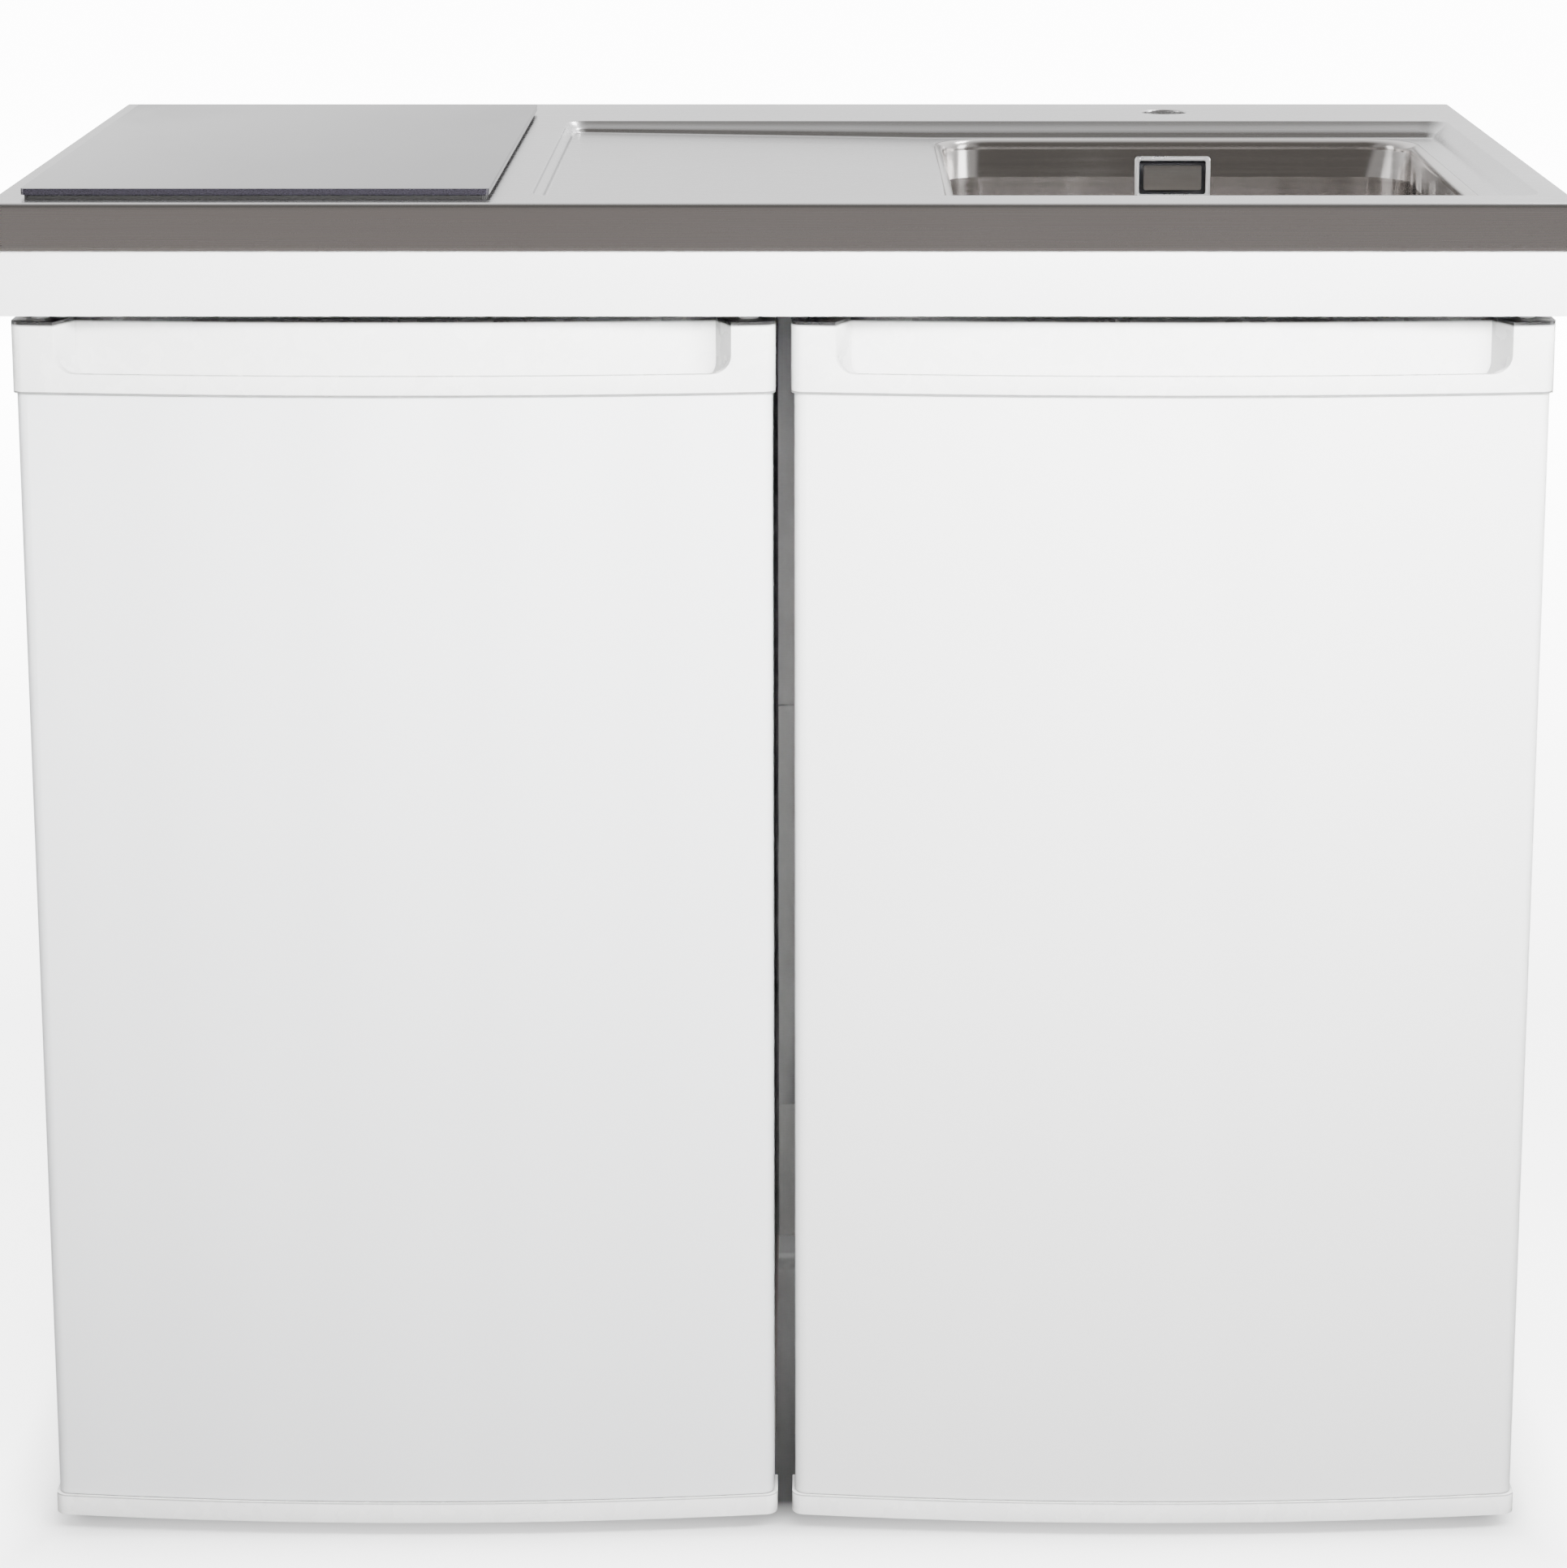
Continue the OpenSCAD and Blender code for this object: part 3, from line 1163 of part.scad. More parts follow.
module cupboard_door_liner() color([0.95, 0.95, 0.94]) at_cupboard() {
    liner_sheet();
    block([-gasket_x + gasket_w + 8, gasket_x - gasket_w - 8], [door_back, door_back + gasket_t - 4],
          [gasket_z[0] + gasket_w + 8, gasket_z[1] - gasket_w - 8]);
    gasket();
}

module screws() color([0.7, 0.7, 0.7]) at_screws() screw_shape(0);

worktop_deck();
worktop_core();
tap_plate();
apron_frame();
worktop_pads();
fixing_tabs();
sink_bowl();
overflow_frame();
overflow_cover();
overflow_housing();
overflow_hose();
waste_body();
waste_nut();
waste_strainer();
trap_body();
trap_cup();
trap_outlet();
hob_glass();
hob_seal();
hob_pan();
hob_heater_front();
hob_heater_rear();
hob_control_unit();
fridge_skin();
fridge_foam();
fridge_liner();
fridge_base();
fridge_toe_grille();
levelling_feet();
fridge_hinges();
fridge_shelves();
crisper_lid();
crisper_drawer();
icebox();
icebox_frame();
icebox_flap();
thermostat_housing();
thermostat_knob();
lamp_cover();
compressor();
drip_tray();
condenser_coil();
condenser_wires();
fridge_door_panel();
fridge_door_top_cap();
fridge_door_bottom_cap();
fridge_door_liner();
fridge_door_foam();
fridge_door_gasket();
fridge_door_bins();
fridge_door_bushes();
cupboard_sides();
cupboard_floor();
cupboard_back();
cupboard_shelf();
cupboard_hinges();
cupboard_door_panel();
cupboard_door_caps();
cupboard_door_liner();
screws();
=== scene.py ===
import json
import math

import bmesh
import bpy
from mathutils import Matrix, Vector


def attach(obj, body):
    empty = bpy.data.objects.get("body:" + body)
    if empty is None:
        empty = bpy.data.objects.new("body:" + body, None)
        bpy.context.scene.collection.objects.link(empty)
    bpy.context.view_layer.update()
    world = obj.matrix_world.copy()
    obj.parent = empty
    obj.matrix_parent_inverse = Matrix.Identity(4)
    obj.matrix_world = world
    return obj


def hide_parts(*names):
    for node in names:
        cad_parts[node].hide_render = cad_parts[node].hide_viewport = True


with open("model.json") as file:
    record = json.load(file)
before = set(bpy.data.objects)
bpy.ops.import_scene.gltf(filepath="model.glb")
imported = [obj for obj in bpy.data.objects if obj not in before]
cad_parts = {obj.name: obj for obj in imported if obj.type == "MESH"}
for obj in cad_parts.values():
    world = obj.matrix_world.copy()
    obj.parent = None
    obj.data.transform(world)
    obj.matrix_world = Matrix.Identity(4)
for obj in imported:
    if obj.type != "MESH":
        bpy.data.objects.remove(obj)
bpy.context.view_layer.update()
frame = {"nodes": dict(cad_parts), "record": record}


NODES = frame["nodes"]

# Sizes that the drawn pieces share with the solids, in metres.
TOP_Z = 0.900
BAND_Z = 0.870
HALF_W, HALF_D = 0.500, 0.300
SHEET = 0.0012
FOLD_R = 0.003
CORNER_R = 0.004
RECESS_X = (-0.160, 0.480)
RECESS_Y = (-0.260, 0.180)
RECESS_R = 0.014
DROP = 0.012
DRAINER_RISE = 0.004
BOWL_X, BOWL_Y = 0.280, -0.039
BOWL_HW, BOWL_HD = 0.169, 0.195
BOWL_R = 0.036
RIM_R = 0.005
BOWL_Z = TOP_Z - DROP - 0.160
FLOOR_R = 0.014
DRAIN_R = 0.0452
OVERFLOW_Z = (0.846, 0.877)
OVERFLOW_W = 0.055
OVERFLOW_LIP = 0.0035
SPLIT_X = BOWL_X - BOWL_HW - RIM_R - 0.004
TAP = (BOWL_X, 0.243)
TAP_R = 0.0175
TAP_LIP = 0.0015
HOB = (-0.3325, -0.028)
HOB_HOLE_HW, HOB_HOLE_HD = 0.1355, 0.243

# Heights and places that only the materials use, to place painted shade.
DOOR_TOP, SEAM_Z, FOOT_SEAM_Z = 0.8226, 0.7773, 0.0275
GRIP_MIDDLE, GRIP_HALF = 0.2475, 0.2275
TIE_PLATE_Y = 0.252
CREASE_SHADE_X = (-0.1597, -0.1550)


def grey(tone):
    return (tone, tone, tone)


def shade(colour, factor):
    return tuple(min(1.0, c * factor) for c in colour)


# ---- Node trees ----

class Nodes:
    """A short way to write a node tree."""

    def __init__(self, tree):
        self.tree = tree
        tree.nodes.clear()
        self.texture = self.add("ShaderNodeTexCoord")

    def add(self, kind, **values):
        node = self.tree.nodes.new(kind)
        for key, value in values.items():
            if hasattr(node, key):
                setattr(node, key, value)
            else:
                node.inputs[key.replace("_", " ")].default_value = value
        return node

    def link(self, a, b):
        self.tree.links.new(a, b)

    def feed(self, socket, value):
        """Links a socket, or sets it to a number or a colour."""
        if hasattr(value, "node"):
            self.link(value, socket)
        else:
            socket.default_value = (*value, 1) if isinstance(value, tuple) and len(value) == 3 else value

    def calc(self, operation, *values):
        node = self.add("ShaderNodeMath", operation=operation)
        for socket, value in zip(node.inputs, values):
            self.feed(socket, value)
        return node.outputs[0]

    def axes(self, vector):
        node = self.add("ShaderNodeSeparateXYZ")
        self.link(vector, node.inputs[0])
        return node.outputs

    def mix(self, base, other, factor=1.0, blend="MULTIPLY"):
        node = self.add("ShaderNodeMix", data_type="RGBA", blend_type=blend)
        for socket, value in (("Factor", factor), (6, base), (7, other)):
            self.feed(node.inputs[socket], value)
        return node.outputs[2]

    def mix_shader(self, factor, first, second):
        node = self.add("ShaderNodeMixShader")
        for socket, source in zip(node.inputs, (factor, first, second)):
            self.link(source, socket)
        return node.outputs[0]

    def spread(self, value, low, high, from_low=0.3, from_high=0.7):
        node = self.add("ShaderNodeMapRange")
        for key, number in (("From Min", from_low), ("From Max", from_high), ("To Min", low), ("To Max", high)):
            node.inputs[key].default_value = number
        self.link(value, node.inputs["Value"])
        return node.outputs[0]

    def ramp(self, value, stops):
        node = self.add("ShaderNodeValToRGB")
        ramp = node.color_ramp
        while len(ramp.elements) < len(stops):
            ramp.elements.new(0.5)
        for element, (place, colour) in zip(ramp.elements, stops):
            element.position = place
            element.color = (*colour, 1)
        self.link(value, node.inputs["Fac"])
        return node.outputs[0]


class Surface(Nodes):
    """A material around one Principled shader."""

    def __init__(self, name):
        self.mat = bpy.data.materials.new(name)
        self.mat.use_nodes = True
        super().__init__(self.mat.node_tree)
        self.coords, self.sides = self.texture.outputs["Object"], self.texture.outputs["Normal"]
        self.out = self.add("ShaderNodeOutputMaterial")
        self.bsdf = self.add("ShaderNodeBsdfPrincipled")
        self.link(self.bsdf.outputs[0], self.out.inputs[0])

    def set(self, **values):
        for key, value in values.items():
            self.feed(self.bsdf.inputs[key.replace("_", " ")], value)

    def scaled(self, scale, turn=(0, 0, 0)):
        node = self.add("ShaderNodeMapping")
        node.inputs["Scale"].default_value = scale
        node.inputs["Rotation"].default_value = turn
        self.link(self.coords, node.inputs["Vector"])
        return node.outputs[0]

    def noise(self, scale=10.0, detail=3.0, stretch=(1, 1, 1), rough=0.5, turn=(0, 0, 0)):
        node = self.add("ShaderNodeTexNoise", Scale=scale, Detail=detail, Roughness=rough)
        self.link(self.scaled(stretch, turn), node.inputs["Vector"])
        return node.outputs["Fac"]

    def crevice_shade(self, base, seam_shade=(), ledge=0.0):
        """The base colour with painted shade in narrow gaps, along each seam at fixed heights and under the worktop's
        frame.
        """
        place = self.axes(self.coords) if seam_shade or ledge else None
        # Painted shade along each seam at a fixed height.
        for at, half, tone in seam_shade:
            here = self.calc("COMPARE", place["Z"], at, half)
            base = self.mix(base, self.ramp(here, [(0.0, grey(1)), (1.0, grey(tone))]))
        if ledge:
            base = self.shade_under_ledge(base, place, ledge)
        # Painted shade in narrow gaps, where the ambient occlusion is low.
        near = self.add("ShaderNodeAmbientOcclusion", samples=4, Distance=0.006)
        return self.mix(base, self.ramp(near.outputs["AO"], [(0.08, grey(0.03)), (0.75, grey(1))]))

    def shade_under_ledge(self, base, place, ledge):
        """Painted shade on the doors' top edge under the worktop's frame, and on the end of each grip's hollow that
        faces left.
        """
        # Painted shade on the doors' top edge, under the worktop's frame.
        far = self.add("ShaderNodeAmbientOcclusion", samples=16, Distance=0.035)
        top = self.spread(place["Z"], 0.0, 1.0, ledge - 0.0034, ledge - 0.0018)
        base = self.mix(base, self.ramp(far.outputs["AO"], [(0.80, grey(0.02)), (1.0, grey(0.9))]), top)
        # Painted shade on the left-facing end wall of each grip's hollow.
        grip = self.calc("COMPARE", self.calc("ABSOLUTE", place["X"]), GRIP_MIDDLE, GRIP_HALF)
        facing_left = self.spread(self.axes(self.sides)["X"], 1.0, 0.0, -0.72, -0.45)
        return self.mix(base, grey(0.46), self.calc("MULTIPLY", grip, facing_left))

    def slot_shadow(self, base, behind):
        """The base colour, darker towards the floor on the face that ends the slot between the two cabinets."""
        place = self.axes(self.coords)
        inside = [self.calc("COMPARE", place[axis], at, half)
                  for axis, at, half in (("X", 0.0, 0.02), ("Y", behind, 0.0008))]
        fall = self.ramp(place["Z"], [(0.02, grey(0.58)), (0.11, grey(0.76)), (0.30, grey(0.78)), (0.75, grey(1))])
        return self.mix(base, fall, self.calc("MULTIPLY", *inside))

    def bump(self, height, strength, distance):
        node = self.add("ShaderNodeBump", Strength=strength, Distance=distance)
        if self.bsdf.inputs["Normal"].is_linked:
            self.link(self.bsdf.inputs["Normal"].links[0].from_socket, node.inputs["Normal"])
        self.link(height, node.inputs["Height"])
        self.link(node.outputs[0], self.bsdf.inputs["Normal"])


# ---- Materials ----

def moulded(name, colour, rough, spread=0.06, grain=900.0, bump=0.05, patch=9.0, coat=0.0, tint=0.03,
            painted_gap_shade=False, seam_shade=(), ledge=0.0, slot_y=None):
    """Plastic, rubber or paint: faint patches, a fine grain and a roughness that wanders; where asked, also painted
    shade in gaps and a painted shadow on the slot's end face.
    """
    m = Surface(name)
    base = m.ramp(m.noise(patch, 4.0), [(0.3, shade(colour, 1 - tint)), (0.7, shade(colour, 1 + tint))])
    if slot_y:
        base = m.slot_shadow(base, slot_y)
    m.set(Base_Color=m.crevice_shade(base, seam_shade, ledge) if painted_gap_shade else base,
          Roughness=m.spread(m.noise(patch * 6, 3.0), rough - spread, rough + spread))
    if coat:
        m.set(Coat_Weight=coat, Coat_Roughness=0.12)
    m.bump(m.noise(grain, 2.0), bump, 0.0002)
    return m.mat


def enamel(name, colour, rough=0.3, wave=0.02, painted_gap_shade=False):
    """White stove enamel on sheet steel: a faint orange peel under a clear gloss; where asked, also painted shade in
    its gaps.
    """
    m = Surface(name)
    base = m.ramp(m.noise(3.0, 4.0), [(0.25, shade(colour, 0.975)), (0.75, shade(colour, 1.015))])
    m.set(Base_Color=m.crevice_shade(base) if painted_gap_shade else base,
          Roughness=m.spread(m.noise(40.0, 3.0), rough - 0.05, rough + 0.06),
          Coat_Weight=0.25, Coat_Roughness=0.16)
    m.bump(m.noise(320.0, 2.0), 0.05, 0.0003)
    m.bump(m.noise(9.0, 1.0), wave, 0.004)
    return m.mat


def brushed(name, colour, rough, stretch, streak=0.10, spread=0.07, bump=0.05, warm=None, across=None,
            uneven=0.0, crease_shade=(), metal=1.0, wave=0.0, ends=0.0):
    """Brushed steel, its marks along the axis with the smallest stretch and turned past +-ends on X, with painted dark
    reflections at given X.
    """
    m = Surface(name)
    place = m.axes(m.coords) if ends or crease_shade or wave else None
    marks = [(1.0, 4.0, 0.7), (0.12, 2.0, 0.6)]
    fine, broad = (m.noise(scale, detail, stretch, soft) for scale, detail, soft in marks)
    if ends:
        turned = (stretch[1], stretch[0], stretch[2])
        face = m.spread(m.calc("ABSOLUTE", place["X"]), 0.0, 1.0, ends - 0.0015, ends - 0.0006)
        both = []
        for straight, (scale, detail, soft) in zip((fine, broad), marks):
            mix = m.add("ShaderNodeMix", data_type="FLOAT")
            m.link(face, mix.inputs["Factor"])
            m.link(straight, mix.inputs[2])
            m.link(m.noise(scale, detail, turned, soft), mix.inputs[3])
            both.append(mix.outputs[0])
        fine, broad = both
    cloud = m.noise(5.0, 3.0)
    tone = m.calc("MULTIPLY_ADD", fine, 0.6, m.spread(broad, 0.0, 0.4))
    base = m.ramp(tone, [(0.2, shade(colour, 1 - streak)), (0.55, colour), (0.9, shade(colour, 1 + streak))])
    if warm:
        base = m.mix(base, m.ramp(cloud, [(0.35, warm), (0.65, grey(1))]))
    # Painted dark reflections along the two folds of the recess's left wall.
    for at in crease_shade:
        line = m.calc("MULTIPLY", m.calc("COMPARE", place["X"], at, 0.0004), m.calc("COMPARE", place["Y"], -0.05, 0.19))
        base = m.mix(base, m.ramp(cloud, [(0.3, (0.50, 0.50, 0.52)), (0.7, (0.62, 0.62, 0.63))]), line)
    m.set(Base_Color=base, Metallic=metal, Roughness=m.spread(tone, rough - spread, rough + spread))
    m.bump(fine, bump, 0.0002)
    if wave:
        below = m.spread(place["Z"], 1.0, 0.0, 0.862, 0.882)
        m.bump(m.calc("MULTIPLY", m.noise(1.0, 1.5, (13, 13, 0.8)), below), wave, 0.014)
    if across:
        axis, turn = across
        tangent = m.add("ShaderNodeTangent", direction_type="RADIAL", axis=axis)
        m.set(Anisotropic=uneven, Anisotropic_Rotation=turn, Tangent=tangent.outputs[0])
    return m.mat


def clear(name, colour, rough, weight=0.85, ior=1.49):
    """Glass or clear plastic with a faint cloud."""
    m = Surface(name)
    m.set(Base_Color=m.ramp(m.noise(12.0, 3.0), [(0.3, shade(colour, 0.97)), (0.7, colour)]),
          Roughness=m.spread(m.noise(60.0, 3.0), rough, rough + 0.08),
          Transmission_Weight=weight, IOR=ior)
    m.bump(m.noise(500.0, 2.0), 0.03, 0.0002)
    return m.mat


def chipboard(name, colour):
    """Pressed wood chips."""
    m = Surface(name)
    flakes = m.add("ShaderNodeTexVoronoi", Scale=240.0)
    m.link(m.scaled((1, 1, 1.8)), flakes.inputs["Vector"])
    tone = m.add("ShaderNodeSeparateColor")
    m.link(flakes.outputs["Color"], tone.inputs[0])
    stops = [(0.0, shade(colour, 0.55)), (0.5, colour), (1.0, shade(colour, 1.35))]
    m.set(Base_Color=m.ramp(tone.outputs[0], stops), Roughness=m.spread(m.noise(90.0), 0.75, 0.95))
    m.bump(flakes.outputs["Distance"], 0.4, 0.0006)
    return m.mat


def hob_surface():
    """Black glass whose gloss wanders, so that its reflection is a soft grey."""
    m = Surface("hob_black_glass")
    m.set(Base_Color=m.ramp(m.noise(1600.0, 2.0), [(0.35, (0.011, 0.010, 0.013)), (0.75, (0.022, 0.020, 0.027))]),
          Roughness=m.spread(m.noise(7.0, 4.0, (1, 0.4, 1), turn=(0, 0, 0.6)), 0.05, 0.16),
          IOR=1.48, Coat_Weight=0.12, Coat_Roughness=0.05, Specular_Tint=(0.96, 0.955, 1.0))
    m.bump(m.noise(14.0, 2.0), 0.02, 0.0006)
    return m.mat


paint = {
    # The worktop's steel gets painted dark reflections along the folds of the recess's left wall.
    "worktop_steel": brushed("steel_worktop", (0.76, 0.76, 0.765), 0.27, (9, 2600, 2600), 0.035, 0.035,
                             warm=(0.965, 0.955, 0.95), across=("X", 0.0), uneven=0.6,
                             crease_shade=CREASE_SHADE_X, ends=HALF_W),
    "bowl_steel": brushed("steel_bowl", (0.64, 0.625, 0.615), 0.22, (26, 26, 1500), 0.03, 0.035, 0.02,
                          warm=(0.975, 0.955, 0.945), across=("Z", 0.25), uneven=0.75, wave=1.0),
    "chipboard": chipboard("chipboard_core", (0.46, 0.33, 0.19)),
    "zinc_steel": brushed("steel_zinc", (0.55, 0.56, 0.58), 0.38, (300, 200, 200), 0.18, 0.09),
    "frame_white": enamel("enamel_frame", (0.83, 0.83, 0.835), 0.34, 0.01, painted_gap_shade=True),
    "pad_rubber": moulded("rubber_pad", (0.03, 0.03, 0.03), 0.75, grain=700.0, bump=0.2),
    "overflow_chrome": brushed("chrome_overflow", (0.90, 0.90, 0.905), 0.30, (500, 500, 500), 0.02, 0.05, 0.01,
                               metal=0.88),
    "cover_steel": brushed("steel_cover", (0.44, 0.43, 0.415), 0.34, (40, 900, 1600), 0.14, 0.06, 0.08),
    "black_plastic": moulded("plastic_black", (0.025, 0.025, 0.027), 0.5, bump=0.15),
    "hose_grey": moulded("plastic_hose", (0.55, 0.55, 0.53), 0.42, bump=0.1),
    "drain_white": moulded("plastic_drain", (0.64, 0.64, 0.63), 0.33, bump=0.06),
    "hob_black": hob_surface(),
    "seal_black": moulded("silicone_seal", (0.012, 0.012, 0.012), 0.55, bump=0.15),
    "heater_ceramic": moulded("ceramic_fibre", (0.60, 0.58, 0.53), 0.92, grain=260.0, bump=0.5, tint=0.12),
    "circuit_board": moulded("board_green", (0.02, 0.10, 0.04), 0.45, tint=0.2, patch=60.0),
    "cabinet_white": enamel("enamel_cabinet", (0.80, 0.80, 0.80), 0.36, 0.015),
    "insulation": moulded("foam_back_sheet", (0.62, 0.62, 0.60), 0.6, grain=420.0, bump=0.25, tint=0.05,
                          painted_gap_shade=True),
    "liner_white": moulded("plastic_liner", (0.82, 0.83, 0.84), 0.26, bump=0.015, coat=0.2, tint=0.015),
    "base_grey": moulded("plastic_base", (0.22, 0.22, 0.225), 0.5, bump=0.15),
    "grille_white": moulded("plastic_grille", (0.62, 0.62, 0.62), 0.42, bump=0.1),
    "hinge_white": enamel("enamel_hinge", (0.76, 0.76, 0.75), 0.3),
    "shelf_glass": clear("glass_shelf", (0.80, 0.93, 0.89), 0.02, 0.9, 1.52),
    "clear_plastic": clear("plastic_clear", (0.86, 0.92, 0.95), 0.10, 0.75),
    "icebox_aluminium": brushed("aluminium_icebox", (0.78, 0.79, 0.80), 0.36, (30, 400, 400), 0.08),
    "knob_plastic": moulded("plastic_knob", (0.74, 0.74, 0.74), 0.28, bump=0.05, coat=0.2),
    "lamp_plastic": clear("plastic_lamp", (0.95, 0.94, 0.88), 0.30, 0.45),
    "compressor_black": moulded("paint_compressor", (0.012, 0.012, 0.013), 0.38, grain=300.0, bump=0.2, coat=0.2),
    "condenser_black": moulded("paint_condenser", (0.014, 0.014, 0.015), 0.42, bump=0.15),
    "door_panel_cool": enamel("enamel_door_left", (0.81, 0.818, 0.828), 0.33, painted_gap_shade=True),
    "door_panel_warm": enamel("enamel_door_right", (0.822, 0.822, 0.822), 0.33, painted_gap_shade=True),
    # The caps get painted shade at their seam heights, under the worktop's frame and at each grip's left-facing end.
    "cap_white": moulded("plastic_cap", (0.85, 0.85, 0.843), 0.27, bump=0.03, coat=0.3, tint=0.012, painted_gap_shade=True,
                         seam_shade=((SEAM_Z, 0.0006, 0.26), (FOOT_SEAM_Z, 0.0005, 0.50)), ledge=DOOR_TOP),
    "gasket_grey": moulded("rubber_gasket", (0.42, 0.42, 0.43), 0.6, bump=0.15),
    "bush_plastic": moulded("plastic_bush", (0.66, 0.66, 0.65), 0.36, bump=0.08),
    "cupboard_board": moulded("faced_board", (0.80, 0.80, 0.79), 0.42, grain=350.0, bump=0.12, tint=0.015,
                              slot_y=TIE_PLATE_Y),
    "cupboard_liner": moulded("plastic_inner", (0.80, 0.80, 0.79), 0.3, bump=0.015, tint=0.015, painted_gap_shade=True),
}

slot_of = {s["node"]: s["material_slot"] for s in frame["record"]["subparts"]}
for name, obj in NODES.items():
    obj.data.materials.clear()
    obj.data.materials.append(paint[slot_of[name]])


# ---- Soft edges on the nodes that stay ----

def soften(name, width):
    obj = NODES[name]
    weld = obj.modifiers.new("weld", "WELD")
    weld.merge_threshold = 1e-6
    bevel = obj.modifiers.new("edges", "BEVEL")
    bevel.width = width
    bevel.segments = 3
    bevel.limit_method = "ANGLE"
    bevel.angle_limit = math.radians(32.0)
    bevel.use_clamp_overlap = True
    bevel.harden_normals = True
    for polygon in obj.data.polygons:
        polygon.use_smooth = True


EDGES = {
    "apron_frame": 0.0007, "overflow_frame": 0.0014, "overflow_cover": 0.0005, "hob_glass": 0.0008,
    "hob_seal": 0.0004, "fridge_door_top_cap": 0.0016, "fridge_door_bottom_cap": 0.0014,
    "cupboard_door_caps": 0.0014, "fridge_door_panel": 0.0003, "cupboard_door_panel": 0.0003,
    "fridge_skin": 0.0004, "fridge_foam": 0.0006, "fridge_base": 0.0008, "fridge_toe_grille": 0.0006,
    "levelling_feet": 0.0008, "fridge_hinges": 0.0006, "cupboard_hinges": 0.0006, "fridge_shelves": 0.0006,
    "crisper_lid": 0.0006, "crisper_drawer": 0.0008, "icebox": 0.0005, "icebox_frame": 0.0012,
    "icebox_flap": 0.0008, "thermostat_housing": 0.0012, "thermostat_knob": 0.0006, "lamp_cover": 0.0015,
    "compressor": 0.0015, "drip_tray": 0.0006, "fridge_door_liner": 0.0025, "fridge_door_bins": 0.0008,
    "fridge_door_gasket": 0.002, "fridge_door_bushes": 0.0003, "cupboard_sides": 0.0008,
    "cupboard_floor": 0.0006, "cupboard_back": 0.0005, "cupboard_shelf": 0.0006,
    "cupboard_door_liner": 0.002, "fridge_liner": 0.0012, "trap_body": 0.0012, "trap_cup": 0.0012,
    "waste_nut": 0.001, "waste_strainer": 0.0004, "tap_plate": 0.0005, "fixing_tabs": 0.0004,
    "worktop_core": 0.0004, "worktop_pads": 0.0005, "overflow_housing": 0.001, "screws": 0.0002,
    "hob_pan": 0.0004, "waste_body": 0.0003,
}
for name, width in EDGES.items():
    soften(name, width)


# ---- Lofted sheet pieces ----

def steps(a, b, n):
    return [a + (b - a) * i / n for i in range(n + 1)]


def circle(centre, r, n):
    angles = (2 * math.pi * i / n for i in range(n))
    return [(centre[0] + r * math.cos(a), centre[1] + r * math.sin(a)) for a in angles]


def loop(x, y, r, marks_x=(), marks_y=(), corner=6):
    """Points around a rounded rectangle, with extra points at the marks on its straight sides."""
    (x0, x1), (y0, y1) = x, y
    out = []

    def arc(cx, cy, start):
        for i in range(corner + 1):
            a = math.radians(start + 90 * i / corner)
            out.append((cx + r * math.cos(a), cy + r * math.sin(a)))

    arc(x1 - r, y0 + r, -90)
    out.extend((x1, m) for m in sorted(marks_y))
    arc(x1 - r, y1 - r, 0)
    out.extend((m, y1) for m in sorted(marks_x, reverse=True))
    arc(x0 + r, y1 - r, 90)
    out.extend((x0, m) for m in sorted(marks_y, reverse=True))
    arc(x0 + r, y0 + r, 180)
    out.extend((m, y0) for m in sorted(marks_x))
    return out


def ring(bm, points, height):
    return [bm.verts.new((px, py, height(px, py) if callable(height) else height)) for px, py in points]


def skin_between(bm, a, b):
    n = len(a)
    return [bm.faces.new((a[i], a[(i + 1) % n], b[(i + 1) % n], b[i])) for i in range(n)]


def flat_fill(bm, *rings):
    edges = []
    for verts in rings:
        for i in range(len(verts)):
            pair = (verts[i], verts[(i + 1) % len(verts)])
            edges.append(bm.edges.get(pair) or bm.edges.new(pair))
    bmesh.ops.triangle_fill(bm, edges=edges, use_beauty=True, normal=(0, 0, 1))


def sheet_piece(name, bm, slot, body, nodes, offset=-1.0):
    """Turns the faces into a sheet of the right thickness, in place of the named nodes."""
    bmesh.ops.recalc_face_normals(bm, faces=bm.faces)
    for face in bm.faces:
        face.smooth = True
    mesh = bpy.data.meshes.new(name)
    bm.to_mesh(mesh)
    bm.free()
    obj = bpy.data.objects.new(name, mesh)
    bpy.context.scene.collection.objects.link(obj)
    mesh.materials.append(paint[slot])
    solid = obj.modifiers.new("sheet", "SOLIDIFY")
    solid.thickness = SHEET
    solid.offset = offset
    weighted = obj.modifiers.new("normals", "WEIGHTED_NORMAL")
    weighted.keep_sharp = True
    weighted.weight = 90
    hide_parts(*nodes)
    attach(obj, body)


def recess_drop(px):
    """How far the recess's floor lies under the worktop: the drainer falls towards the bowl."""
    t = (px - RECESS_X[0]) / (SPLIT_X - RECESS_X[0])
    return DROP - DRAINER_RISE * (1 - min(max(t, 0.0), 1.0))


# The pressed edge's profile, as relative lengths of run, scaled to the drop below, and their slopes in degrees.
PRESSED_SLOPES = [(0.4, 14), (0.3, 32), (0.3, 46), (1.4, 52), (1.5, 47), (1.5, 43), (1.4, 43), (0.9, 52), (1.2, 60),
                  (0.5, 48), (0.4, 33), (0.5, 18), (0.6, 6)]
EDGE_OUT = 0.001


def pressed_edge():
    """How far in each ring of the recess's wall lies, and its share of the drop."""
    runs, falls = [0.0], [0.0]
    for run, slope in PRESSED_SLOPES:
        runs.append(runs[-1] + run)
        falls.append(falls[-1] + run * math.tan(math.radians(slope)))
    scale = DROP / falls[-1]
    return [(-EDGE_OUT + run * scale, fall / falls[-1]) for run, fall in zip(runs, falls)]


